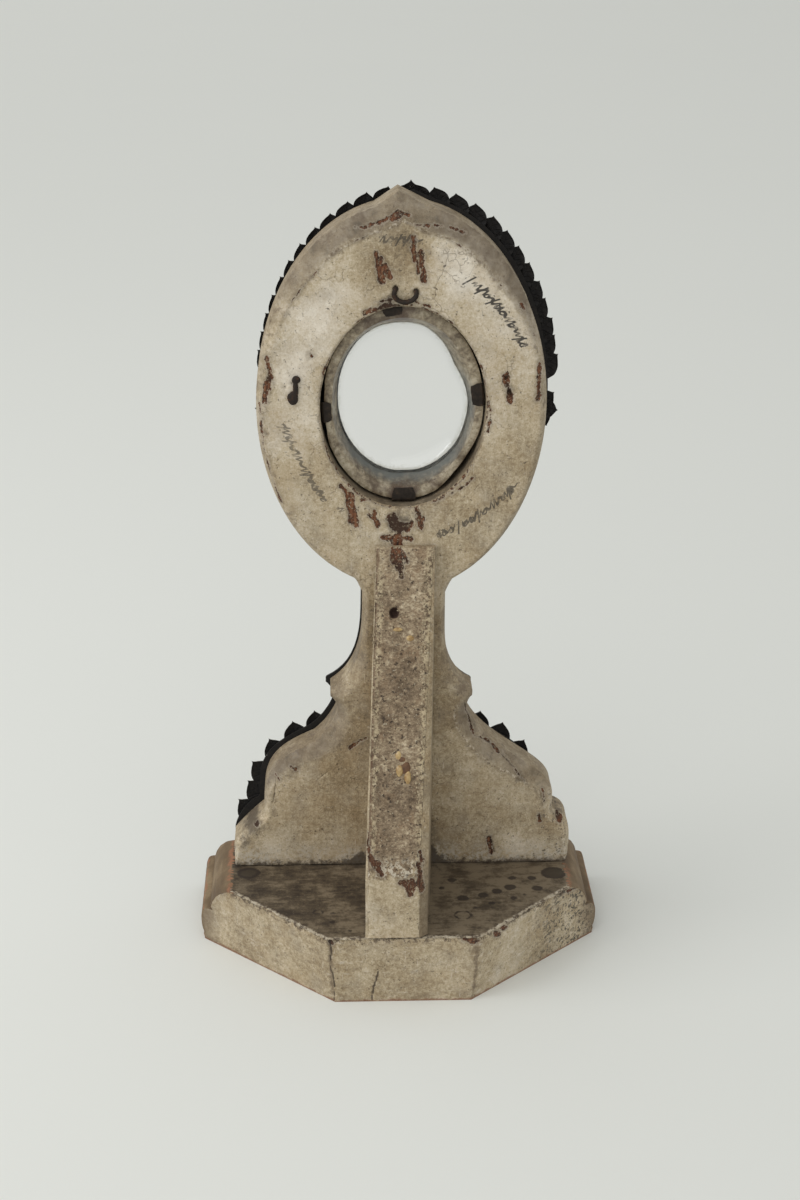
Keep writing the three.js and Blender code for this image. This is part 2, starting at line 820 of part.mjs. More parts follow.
const silver = addPiece("silver_front", standUp(toGeometry(silverFront())), tarnishedSilver);
silver.position.y = board.front - gap;

export default reliquary;
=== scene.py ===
import math

import bmesh
import bpy
import numpy as np
from mathutils import Matrix, Vector
from mathutils.geometry import delaunay_2d_cdt


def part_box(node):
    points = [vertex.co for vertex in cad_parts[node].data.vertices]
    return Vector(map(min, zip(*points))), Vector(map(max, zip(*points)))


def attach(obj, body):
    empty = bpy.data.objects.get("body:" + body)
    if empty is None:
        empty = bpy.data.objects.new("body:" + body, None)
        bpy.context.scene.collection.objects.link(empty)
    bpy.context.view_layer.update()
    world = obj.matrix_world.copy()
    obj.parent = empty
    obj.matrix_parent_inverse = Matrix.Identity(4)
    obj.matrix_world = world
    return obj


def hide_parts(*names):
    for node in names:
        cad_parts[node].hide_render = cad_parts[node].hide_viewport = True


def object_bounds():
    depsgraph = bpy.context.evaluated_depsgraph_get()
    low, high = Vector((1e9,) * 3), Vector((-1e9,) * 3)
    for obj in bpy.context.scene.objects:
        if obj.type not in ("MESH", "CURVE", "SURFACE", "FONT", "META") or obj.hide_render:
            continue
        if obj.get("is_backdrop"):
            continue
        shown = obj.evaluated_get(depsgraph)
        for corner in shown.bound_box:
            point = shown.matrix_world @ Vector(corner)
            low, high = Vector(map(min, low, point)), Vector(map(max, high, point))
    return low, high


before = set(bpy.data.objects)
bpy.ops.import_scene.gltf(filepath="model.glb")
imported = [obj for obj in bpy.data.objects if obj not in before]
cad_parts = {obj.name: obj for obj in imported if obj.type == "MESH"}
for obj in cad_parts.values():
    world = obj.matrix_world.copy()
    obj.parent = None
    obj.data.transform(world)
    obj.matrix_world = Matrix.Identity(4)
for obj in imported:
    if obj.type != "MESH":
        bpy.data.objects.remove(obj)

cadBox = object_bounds()
metres = 0.001                          # shapes are worked out in millimetres
plinthTop, standing, boardBack = 26.4, 26.7, -9.7      # levels that several pieces share


# small sums on arrays of points

def blend(start, end, share):
    return start + (end - start) * share


def smoothStep(low, high, value):
    share = np.clip((value - low) / (high - low), 0, 1)
    return share * share * (3 - 2 * share)


def cellNumber(x, y, z, seed):          # a fixed number from 0 to 1 for each cell of space
    mixed = (x * 73856093) ^ (y * 19349663) ^ (z * 83492791) ^ (seed * 2654435761)
    mixed = ((mixed ^ (mixed >> 13)) * 1274126177) & 0xFFFFFFFF
    mixed = ((mixed ^ (mixed >> 15)) * 2246822519) & 0xFFFFFFFF
    return ((mixed >> 8) & 0xFFFF) / 65535


def bumps(points, size, seed, layers=1):        # smooth noise from -1 to 1, with lumps of that size
    points = np.asarray(points, float)
    if points.shape[1] == 2:
        points = np.c_[points, np.zeros(len(points))]
    total, weight, whole = np.zeros(len(points)), 1.0, 0.0
    for layer in range(layers):
        scaled = points * (2 ** layer / size) + 17.3 * layer
        corner = np.floor(scaled).astype(np.int64)
        part = scaled - corner
        part = part * part * (3 - 2 * part)
        for step in np.ndindex(2, 2, 2):
            share = np.prod(np.where(step, part, 1 - part), axis=1)
            value = cellNumber(*(corner + step).T, seed + layer)
            total += weight * share * (2 * value - 1)
        whole += weight
        weight *= 0.5
    return total / whole


def lumps(points, size, seed, layers=1, raised=0.0):    # only the upper part of that noise, from 0 to 1
    return np.clip(bumps(points, size, seed, layers) + raised, 0, 1)


def curvePoints(*controls, steps=10):   # a Bezier of any degree, without its last point
    share = np.linspace(0, 1, steps, endpoint=False)[:, None]
    points = [np.array(p, float) + 0 * share for p in controls]
    while len(points) > 1:
        points = [blend(a, b, share) for a, b in zip(points, points[1:])]
    return points[0]


def evenly(path, spacing):              # the same path with points at even steps, both ends kept
    path = np.asarray(path, float)
    run = np.r_[0, np.cumsum(np.linalg.norm(np.diff(path, axis=0), axis=1))]
    at = np.linspace(0, run[-1], max(2, int(round(run[-1] / spacing)) + 1))
    return np.stack([np.interp(at, run, path[:, k]) for k in range(path.shape[1])], 1)


def eased(path, times):                 # the same path with its bends softened
    for _ in range(times):
        path[1:-1] = 0.25 * path[:-2] + 0.5 * path[1:-1] + 0.25 * path[2:]
    return path


def closedPath(loop):
    return np.vstack([loop, loop[:1]])


def nearPath(points, path):             # distance to a path, the place along it and the side
    best = np.full(len(points), 1e9)
    along, side = np.zeros(len(points)), np.ones(len(points))
    run = 0.0
    for a, b in zip(path[:-1], path[1:]):
        step = b - a
        length = max(math.hypot(*step), 1e-9)
        offset = points - a
        share = np.clip(offset @ step / length ** 2, 0, 1)
        away = offset - share[:, None] * step
        distance = np.hypot(away[:, 0], away[:, 1])
        closer = distance < best
        turn = np.sign(step[0] * offset[:, 1] - step[1] * offset[:, 0])
        best[closer] = distance[closer]
        along[closer] = run + share[closer] * length
        side[closer] = turn[closer]
        run += length
    return best, along, side


def toLines(points, lines):             # distance to the nearest of several lines
    return np.min([nearPath(points, np.array(line, float))[0] for line in lines], axis=0)


def insideLoop(points, loop):
    inside = np.zeros(len(points), bool)
    x, y = points.T
    for (x0, y0), (x1, y1) in zip(loop, np.roll(loop, -1, 0)):
        if y0 != y1:
            crossing = (y0 > y) != (y1 > y)
            inside ^= crossing & (x < (x1 - x0) * (y - y0) / (y1 - y0) + x0)
    return inside


def toStrokes(points, strokes):         # signed distance to rounded strokes (x, z, x, z, radius)
    nearest = np.full(len(points), 99.0)
    for x0, z0, x1, z1, radius in strokes:
        path = np.array([(x0, z0), (x1 + 1e-6, z1)])
        nearest = np.minimum(nearest, nearPath(points, path)[0] - radius)
    return nearest


def softSpots(points, spots):           # a sum of soft round spots (x, z, radius, strength)
    total = np.zeros(len(points))
    for x, z, radius, strength in spots:
        square = (points[:, 0] - x) ** 2 + (points[:, 1] - z) ** 2
        total += strength * np.exp(-square / radius ** 2)
    return total


def hexPoints(low, high, spacing):      # a triangular lattice, and which points are its coarser half
    rows = np.arange(low[1], high[1], spacing * 0.8660254)
    columns = np.arange(low[0], high[0], spacing)
    i, j = np.meshgrid(np.arange(len(columns)), np.arange(len(rows)))
    x = columns[i] + (j % 2) * spacing / 2
    coarse = (j % 2 == 0) & ((i + j // 2) % 2 == 0)
    return np.c_[x.ravel(), rows[j].ravel()], coarse.ravel()


def fillFlat(loops, inner):             # triangles between an outer loop and the holes in it
    flat = np.vstack(list(loops) + [inner])
    edges, start = [], 0
    for loop in loops:
        count = len(loop)
        edges += [(start + i, start + (i + 1) % count) for i in range(count)]
        start += count
    found = delaunay_2d_cdt([Vector(p) for p in flat], edges, [], 0, 1e-6)
    source = np.array([row[0] for row in found[3]])
    triangles = source[np.array(found[2])]
    centres = flat[triangles].mean(1)
    keep = insideLoop(centres, loops[0])
    for hole in loops[1:]:
        keep &= ~insideLoop(centres, hole)
    return flat, triangles[keep]


def stripFaces(rows, count, closed=True):       # quads between rows of points, as triangles
    r, c = np.meshgrid(np.arange(rows - 1), np.arange(count if closed else count - 1), indexing="ij")
    a = r * count + c
    b = r * count + (c + 1) % count
    quads = np.stack([a, b, b + count, a + count], -1).reshape(-1, 4)
    return np.vstack([quads[:, [0, 1, 2]], quads[:, [0, 2, 3]]])


def shellFaces(rows, columns):          # a thin sheet of two layers of points, with its rim
    sheet = rows * columns
    front = stripFaces(rows, columns, closed=False)
    grid = np.arange(sheet).reshape(rows, columns)
    a = np.r_[grid[0], grid[1:, -1], grid[-1, -2::-1], grid[-2:0:-1, 0]]
    b = np.roll(a, -1)
    rim = np.stack([np.c_[a, b, b + sheet], np.c_[a, b + sheet, a + sheet]], 1).reshape(-1, 3)
    return np.vstack([front, front[:, ::-1] + sheet, rim])


def closedStrip(rows, count):           # rings of points, closed by the two single points that follow them
    ends, a = rows * count, np.arange(count)
    b, last = np.roll(a, -1), ends - count
    fans = np.stack([np.c_[a * 0 + ends, b, a], np.c_[a * 0 + ends + 1, last + a, last + b]], 1)
    return np.vstack([stripFaces(rows, count), fans.reshape(-1, 3)])


def joinParts(parts):                   # (points, triangles, values) of several parts as one
    points, triangles, start = [], [], 0
    values = {name: [] for name in sorted({name for part in parts for name in part[2]})}
    for place, faces, own in parts:
        points.append(place)
        triangles.append(np.asarray(faces) + start)
        start += len(place)
        for name, rows in values.items():
            rows.append(np.broadcast_to(own.get(name, 0.0), len(place)))
    return np.vstack(points), np.vstack(triangles), {n: np.concatenate(rows) for n, rows in values.items()}


def makeMesh(name, points, triangles, values=None, finishes=(), faceFinish=None, crisp=50):
    mesh = bpy.data.meshes.new(name)
    mesh.from_pydata((points * metres).tolist(), [], np.asarray(triangles).tolist())
    putValues(mesh, values or {})
    for finish in finishes:
        mesh.materials.append(finish)
    if faceFinish is not None:
        mesh.polygons.foreach_set("material_index", np.asarray(faceFinish, np.int32))
    tidyMesh(mesh, crisp)
    piece = bpy.data.objects.new(name, mesh)
    bpy.context.scene.collection.objects.link(piece)
    return piece


def tidyMesh(mesh, crisp):              # one skin, faces outward, crisp only at real edges
    shape = bmesh.new()
    shape.from_mesh(mesh)
    bmesh.ops.remove_doubles(shape, verts=shape.verts, dist=2e-6)
    bmesh.ops.dissolve_degenerate(shape, edges=shape.edges, dist=1e-7)
    bmesh.ops.recalc_face_normals(shape, faces=shape.faces)
    shape.to_mesh(mesh)
    shape.free()
    mesh.polygons.foreach_set("use_smooth", np.ones(len(mesh.polygons), bool))
    mesh.set_sharp_from_angle(angle=math.radians(crisp))
    mesh.update()


def fetch(rows, label, width=1, kind=np.float32):       # one property of all rows of a mesh, as an array
    found = np.zeros(len(rows) * width, kind)
    rows.foreach_get(label, found)
    return found.reshape(-1, width) if width > 1 else found


def meshPoints(mesh):                   # points and their normals, in millimetres
    place, facing = fetch(mesh.vertices, "co", 3), fetch(mesh.vertex_normals, "vector", 3)
    return place.astype(float) / metres, facing.astype(float)


def putPoints(mesh, place):
    mesh.vertices.foreach_set("co", (place * metres).ravel().astype(np.float32))
    mesh.update()


def meshValue(mesh, label):             # a value that the mesh carries at its points
    return fetch(mesh.attributes[label].data, "value").astype(float)


def putValues(mesh, values):
    for label, value in values.items():
        layer = mesh.attributes.new(label, "FLOAT", "POINT")
        layer.data.foreach_set("value", np.broadcast_to(value, len(mesh.vertices)).astype(np.float32))


def meshParts(mesh):                    # a pattern's points, triangles and values, in units of its own
    mesh.calc_loop_triangles()
    values = {label: meshValue(mesh, label) for label in carried if label in mesh.attributes}
    triangles = fetch(mesh.loop_triangles, "vertices", 3, np.int32)
    return fetch(mesh.vertices, "co", 3).astype(float), triangles, values


# node trees: numbers with the usual operators, and one method for every other node

class Number:
    def __init__(self, tree, socket):
        self.tree, self.socket = tree, socket

    def math(self, operation, other=0.0, first=None):
        left = self if first is None else first
        return self.tree.number("ShaderNodeMath", {"operation": operation}, {0: left, 1: other})

    def __add__(self, other):
        return self.math("ADD", other)

    def __sub__(self, other):
        return self.math("SUBTRACT", other)

    def __mul__(self, other):
        return self.math("MULTIPLY", other)

    def __truediv__(self, other):
        return self.math("DIVIDE", other)

    def __rsub__(self, other):
        return self.math("SUBTRACT", self, first=other)

    def __rtruediv__(self, other):
        return self.math("DIVIDE", self, first=other)

    __radd__ = __add__
    __rmul__ = __mul__

    def least(self, other):
        return self.math("MINIMUM", other)

    def most(self, other):
        return self.math("MAXIMUM", other)

    def size(self):
        return self.math("ABSOLUTE")

    def step(self, low, high):          # 0 below low and 1 above high, smooth between; also reversed
        ends = (low, high, 0.0, 1.0) if low <= high else (high, low, 1.0, 0.0)
        settings = {"interpolation_type": "SMOOTHSTEP"}
        return self.tree.number("ShaderNodeMapRange", settings, dict(enumerate((self, *ends))))


class Tree:
    def __init__(self, tree):
        self.tree = tree

    def node(self, kind, settings=None, values=None):
        made = self.tree.nodes.new(kind)
        for name, value in (settings or {}).items():
            setattr(made, name, value)
        for key, value in (values or {}).items():
            self.feed(made.inputs[key], value)
        return made

    def feed(self, socket, value):
        value = getattr(value, "socket", value)
        if isinstance(value, bpy.types.NodeSocket):
            self.tree.links.new(value, socket)
        elif socket.type == "RGBA":
            socket.default_value = (*value[:3], 1.0)
        else:
            socket.default_value = value

    def number(self, kind, settings=None, values=None, output=0):
        return Number(self, self.node(kind, settings, values).outputs[output])


class Finish(Tree):
    def __init__(self, name):
        self.material = bpy.data.materials.new(name)
        self.material.use_nodes = True
        super().__init__(self.material.node_tree)
        self.tree.nodes.clear()
        self.place = self.node("ShaderNodeTexCoord").outputs["Object"]

    def mapped(self, scale, turn=(0, 0, 0)):
        values = {"Vector": self.place, "Scale": scale, "Rotation": turn}
        return self.node("ShaderNodeMapping", None, values).outputs[0]

    def noise(self, size, detail=2.0, rough=0.5, twist=0.0, place=None, seed=0.0):
        values = {"Vector": place or self.place, "Scale": 1000 / size, "Detail": detail,
                  "Roughness": rough, "Distortion": twist, "W": float(seed)}
        return self.number("ShaderNodeTexNoise", {"noise_dimensions": "4D"}, values)

    def drift(self, reach, *sizes, **rest):     # noise about zero, that far from end to end
        return (self.noise(*sizes, **rest) - 0.5) * reach

    def cells(self, size, place=None, feature="F1"):
        values = {"Vector": place or self.place, "Scale": 1000 / size}
        return self.number("ShaderNodeTexVoronoi", {"feature": feature}, values)

    def value(self, label):             # a value that the mesh carries at its points
        return self.number("ShaderNodeAttribute", {"attribute_name": label}, None, 2)

    def warped(self, size, amount):     # the place, shifted about by soft noise
        values = {"Vector": self.place, "Scale": 1000 / size, "Detail": 2.0}
        found = self.node("ShaderNodeTexNoise", None, values).outputs["Color"]
        for operation, values in (("SUBTRACT", {0: found, 1: (0.5, 0.5, 0.5)}),
                                  ("SCALE", {"Scale": amount * metres}), ("ADD", {1: self.place})):
            found = self.node("ShaderNodeVectorMath", {"operation": operation}, {0: found, **values}).outputs[0]
        return found

    def axis(self, number):             # one coordinate of the place, in millimetres
        return self.number("ShaderNodeSeparateXYZ", None, {0: self.place}, number) / metres

    def mix(self, share, under, over):
        return self.node("ShaderNodeMix", {"data_type": "RGBA"}, {0: share, 6: under, 7: over}).outputs[2]

    def coats(self, color, *layers):    # (share, colour) pairs, each laid over what is there
        for share, over in layers:
            color = self.mix(share, color, over)
        return color

    def ramp(self, number, *stops):
        made = self.node("ShaderNodeValToRGB", None, {0: number})
        elements = made.color_ramp.elements
        while len(elements) < len(stops):
            elements.new(0.5)
        for element, (position, color) in zip(elements, stops):
            element.position = position
            element.color = (*color, 1.0)
        return made.outputs[0]

    def finishWith(self, color, rough, height, deep, plain=None):
        # height is in shares of deep, which is in millimetres; plain values are set on the shader
        bump = {"Height": height, "Strength": 1.0, "Distance": deep * metres}
        normal = self.node("ShaderNodeBump", None, bump).outputs[0]
        values = {"Base Color": color, "Roughness": rough, "Normal": normal, **(plain or {})}
        shader = self.node("ShaderNodeBsdfPrincipled", None, values)
        self.node("ShaderNodeOutputMaterial", None, {0: shader.outputs[0]})
        return self.material


class RowTree(Tree):                    # lays copies of a pattern along a guide line; its inputs have names
    def __init__(self, name, inputs):
        super().__init__(bpy.data.node_groups.new(name, "GeometryNodeTree"))
        kinds = {int: "Int", float: "Float"}
        self.addSocket("Geometry", "INPUT", "Geometry")
        for label, value in inputs.items():
            socket = self.addSocket(label, "INPUT", kinds.get(type(value), value))
            if type(value) in kinds:
                socket.default_value = value
        self.addSocket("Geometry", "OUTPUT", "Geometry")
        self.given = self.node("NodeGroupInput").outputs

    def addSocket(self, label, way, kind):
        return self.tree.interface.new_socket(label, in_out=way, socket_type="NodeSocket" + kind)

    def __getitem__(self, label):
        return Number(self, self.given[label])

    def chance(self, low, high, number):        # a random number for each copy
        values = {2: low, 3: high, "Seed": self["Seed"] + number}
        return self.number("FunctionNodeRandomValue", {"data_type": "FLOAT"}, values, 1)

    def vector(self, x=0.0, y=0.0, z=0.0):
        return self.node("ShaderNodeCombineXYZ", None, {0: x, 1: y, 2: z}).outputs[0]

    def spread(self, mode, amount):     # points along the guide line
        values = {"Curve": self["Geometry"], mode.title(): amount}
        return self.node("GeometryNodeResampleCurve", {"mode": mode}, values).outputs[0]

    def moved(self, points, offset):
        return self.node("GeometryNodeSetPosition", None, {"Geometry": points, "Offset": offset}).outputs[0]

    def copies(self, points, pattern, turn, scale):
        shape = self.node("GeometryNodeObjectInfo", None, {"Object": self[pattern]}).outputs["Geometry"]
        values = {"Points": points, "Instance": shape, "Rotation": turn, "Scale": scale}
        return self.node("GeometryNodeInstanceOnPoints", None, values).outputs[0]

    def finish(self, placed):
        real = self.node("GeometryNodeRealizeInstances", None, {0: placed}).outputs[0]
        dressed = self.node("GeometryNodeSetMaterial", None, {"Geometry": real, "Material": self["Finish"]})
        self.node("NodeGroupOutput", None, {0: dressed.outputs[0]})
        return self.tree


carried = ("rise", "back", "leafAlong", "leafAcross")     # values that a pattern's points bring along


def alongPath(group, path, height, values, closed=False):
    # lays a node group along a path in the XY plane and gives back its points, faces and values
    curve = bpy.data.curves.new("guide", "CURVE")
    curve.dimensions = "3D"
    spline = curve.splines.new("POLY")
    spline.points.add(len(path) - 1)
    spline.use_cyclic_u = closed
    for point, (x, y) in zip(spline.points, path):
        point.co = (x, y, height, 1)
    guide = bpy.data.objects.new("guide", curve)
    bpy.context.scene.collection.objects.link(guide)
    layer = guide.modifiers.new("laid", "NODES")
    layer.node_group = group
    for item in group.interface.items_tree:
        if item.item_type == "SOCKET" and item.in_out == "INPUT" and item.name in values:
            layer[item.identifier] = values[item.name]
    graph = bpy.context.evaluated_depsgraph_get()
    mesh = bpy.data.meshes.new_from_object(guide.evaluated_get(graph))
    bpy.data.objects.remove(guide)
    parts = meshParts(mesh)
    bpy.data.meshes.remove(mesh)
    return parts


# the outline that the board and the silver sheet share, as the woodcarver drew it

outlineHeights = dict(foot=standing, riserFoot=47.6, riserTop=54.0, waist=89.8, cusp=97.0)

boardForm = dict(
    headX=-0.4, headZ=207.0, headHalf=50.3, rise=70.0,
    peakX=1.0, peakZ=281.2, peakHalf=9.5,
    neckX=-1.5, neckHalf=14.9, neckTop=138.6, neckFoot=126.0,
    sides={
        1: dict(drop=68.0, base=61.8, torus=62.2, torusTop=35.5, bulge=0.1, riser=50.4, shoulderTop=72.5,
                shoulderBend=41.0, slopeX=31.5, slopeZ=77.1, waist=22.6, cusp=25.3),
        -1: dict(drop=69.5, base=63.6, torus=65.0, torusTop=34.0, bulge=1.0, riser=58.0, shoulderTop=66.0,
                 shoulderBend=49.0, slopeX=37.6, slopeZ=74.7, waist=24.8, cusp=27.0),
    },
)

sheetSide = dict(drop=67.5, base=60.5, torus=61.4, torusTop=34.5, bulge=0.5, riser=52.0, shoulderTop=72.0,
                 shoulderBend=43.0, slopeX=33.5, slopeZ=77.6, waist=24.3, cusp=27.1)
sheetForm = dict(
    headX=0.0, headZ=207.4, headHalf=50.4, rise=70.0,
    peakX=-1.4, peakZ=279.4, peakHalf=9.0,
    neckX=0.0, neckHalf=14.5, neckTop=139.6, neckFoot=126.0,
    sides={1: sheetSide, -1: sheetSide},
)


def sideUp(form, s):
    foot, at = form["sides"][s], outlineHeights
    neckX = form["neckX"] + s * form["neckHalf"]
    bulge = foot["bulge"]
    torusX, riserX = s * foot["torus"], s * foot["riser"]
    parts = [
        curvePoints((s * foot["base"], at["foot"]), (torusX, 29), (torusX, foot["torusTop"])),
        curvePoints((torusX, foot["torusTop"]),
                    (s * (foot["torus"] - 2 + 2 * bulge), blend(37.5, 42, bulge)),
                    (s * (foot["riser"] + 3 + 3 * bulge), blend(45, 46, bulge)), (riserX, at["riserFoot"])),
        curvePoints((riserX, at["riserFoot"]), (riserX, at["riserTop"])),
        curvePoints((riserX, at["riserTop"]), (riserX, foot["shoulderTop"] - 4),
                    (s * foot["shoulderBend"], foot["shoulderTop"]), (s * foot["slopeX"], foot["slopeZ"]),
                    steps=24),
        curvePoints((s * foot["slopeX"], foot["slopeZ"]), (s * (foot["waist"] + 3), 82),
                    (s * foot["waist"], at["waist"])),
        curvePoints((s * foot["waist"], at["waist"]), (s * foot["waist"], at["cusp"] - 3),
                    (s * foot["cusp"], at["cusp"] - 1)),
        curvePoints((s * foot["cusp"], at["cusp"] - 1), (s * foot["cusp"], at["cusp"] + 1)),
        curvePoints((s * foot["cusp"], at["cusp"] + 1), (s * 19, 102), (neckX, 110), (neckX, form["neckFoot"])),
        curvePoints((neckX, form["neckFoot"]), (neckX, form["neckTop"])),
    ]
    neckAngle = math.acos(abs(neckX - form["headX"]) / form["headHalf"]) - 0.05
    peakAngle = math.acos(form["peakHalf"] / form["headHalf"])
    angle = np.linspace(-neckAngle, peakAngle, 60)
    reach = np.where(angle < 0, foot["drop"], form["rise"])
    head = np.c_[form["headX"] + s * form["headHalf"] * np.cos(angle), form["headZ"] + reach * np.sin(angle)]
    return np.vstack(parts + [head, [(form["peakX"], form["peakZ"])]])


def outlineLoop(form, spacing):         # anticlockwise from the left foot, and the same without the foot's line
    up = evenly(sideUp(form, 1), spacing)
    down = evenly(sideUp(form, -1)[::-1], spacing)
    under = evenly([down[-1], up[0]], spacing)
    return np.vstack([up[:-1], down[:-1], under[:-1]]), np.vstack([up, down[1:]])


def ovalLoop(x, z, halfWidth, halfHeight, spacing):
    count = int(math.pi * (halfWidth + halfHeight) / spacing)
    angle = np.arange(count) * 2 * math.pi / count
    return np.c_[x + halfWidth * np.cos(angle), z + halfHeight * np.sin(angle)]


# camera, light and floor

view = dict(lens=58.59, sensor=36.0, place=(24.3, 634.9, 408.8), down=22.965, yaw=-2.161, roll=0.3)


def setCamera():
    down, yaw, roll = (math.radians(view[k]) for k in ("down", "yaw", "roll"))
    ahead = Vector((math.sin(yaw) * math.cos(down), -math.cos(yaw) * math.cos(down), -math.sin(down)))
    right = ahead.cross(Vector((0, 0, 1))).normalized()
    up = right.cross(ahead)
    rolledRight = math.cos(roll) * right + math.sin(roll) * up
    rolledUp = math.cos(roll) * up - math.sin(roll) * right
    data = bpy.data.cameras.new("photoCamera")
    data.sensor_fit, data.sensor_height, data.lens = "VERTICAL", view["sensor"], view["lens"]
    data.clip_start, data.clip_end = 0.01, 50
    camera = bpy.data.objects.new("photoCamera", data)
    turned = Matrix((rolledRight, rolledUp, -ahead)).transposed().to_4x4()
    camera.matrix_world = Matrix.Translation(Vector(view["place"]) * metres) @ turned
    bpy.context.scene.collection.objects.link(camera)
    bpy.context.scene.camera = camera


studio = dict(
    sky=0.575, skyColor=(1.0, 1.01, 0.985),
    sunPower=0.71, sunSpread=75, sunFrom=(0.36, 0.56, 0.70),
    keyPlace=(0.95, 0.2, 0.85), keySize=0.7, keyPower=3.6,
    floorHalf=7.0, floorColor=(0.80, 0.81, 0.775),
)


def addLamp(kind, name, place, settings):
    data = bpy.data.lights.new(name, kind)
    for label, value in settings.items():
        setattr(data, label, value)
    lamp = bpy.data.objects.new(name, data)
    lamp.location = place
    lamp.rotation_euler = (Vector((0, 0, 0.1)) - Vector(place)).to_track_quat("-Z", "Y").to_euler()
    bpy.context.scene.collection.objects.link(lamp)


def setStudio():
    world = bpy.data.worlds.new("studioSky")
    world.use_nodes = True
    glow = world.node_tree.nodes["Background"]
    glow.inputs[0].default_value = (*studio["skyColor"], 1)
    glow.inputs[1].default_value = studio["sky"]
    bpy.context.scene.world = world
    addLamp("SUN", "ceilingLight", Vector(studio["sunFrom"]) * 3,
            {"energy": studio["sunPower"], "angle": math.radians(studio["sunSpread"])})
    addLamp("AREA", "softbox", studio["keyPlace"],
            {"energy": studio["keyPower"], "shape": "DISK", "size": studio["keySize"]})
    paper = Finish("studioPaper")
    # painted light: the paper is painted lighter towards +x and darker towards -x, a gradient of light falling
    # from that side
    side = (paper.axis(0) + paper.noise(350, 3) * 300).step(-1100, 1400)
    paintedDarker, paintedLighter = ([share * c for c in studio["floorColor"]] for share in (0.95, 1.05))
    paper.finishWith(paper.mix(side, paintedDarker, paintedLighter), 0.85, paper.noise(0.8, 2), 0.01)
    half = studio["floorHalf"]
    corners = np.array([(-half, -half), (half, -half), (half, half), (-half, half)]) / metres
    floor = makeMesh("studioFloor", np.c_[corners, np.zeros(4)], [(0, 1, 2), (0, 2, 3)],
                     finishes=[paper.material])
    floor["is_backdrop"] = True
    bpy.context.scene.view_settings.view_transform = "Standard"


setCamera()
setStudio()
print("camera and studio stand")


# back board: carved wood under painted gesso

boardMake = dict(
    back=boardBack, front=-24.2, spacing=0.42, wallStep=0.8, frontSpacing=2.4, bevelDepth=3.4,
    openingX=-0.9, openingZ=206.7, openingHalfWidth=28.8, openingHalfHeight=36.0,
    flakeDepth=0.4, handCut=0.16,
)
bevelTable = [                          # z, then the bevel's width on the side of +x and on that of -x
    (26.7, 0.3, 0.3), (34, 2.0, 2.4), (50, 1.8, 3.0), (58, 2.4, 5.4), (66, 4.2, 6.0), (75, 5.6, 6.4),
    (86, 5.4, 5.2), (94, 3.4, 3.2), (102, 4.4, 4.2), (110, 4.0, 4.0), (118, 1.8, 1.8), (142, 1.6, 1.6),
    (160, 2.0, 2.0), (205, 2.4, 2.2), (235, 3.4, 3.2), (255, 5.6, 5.8), (268, 7.2, 7.4), (282, 9.6, 9.6),
]

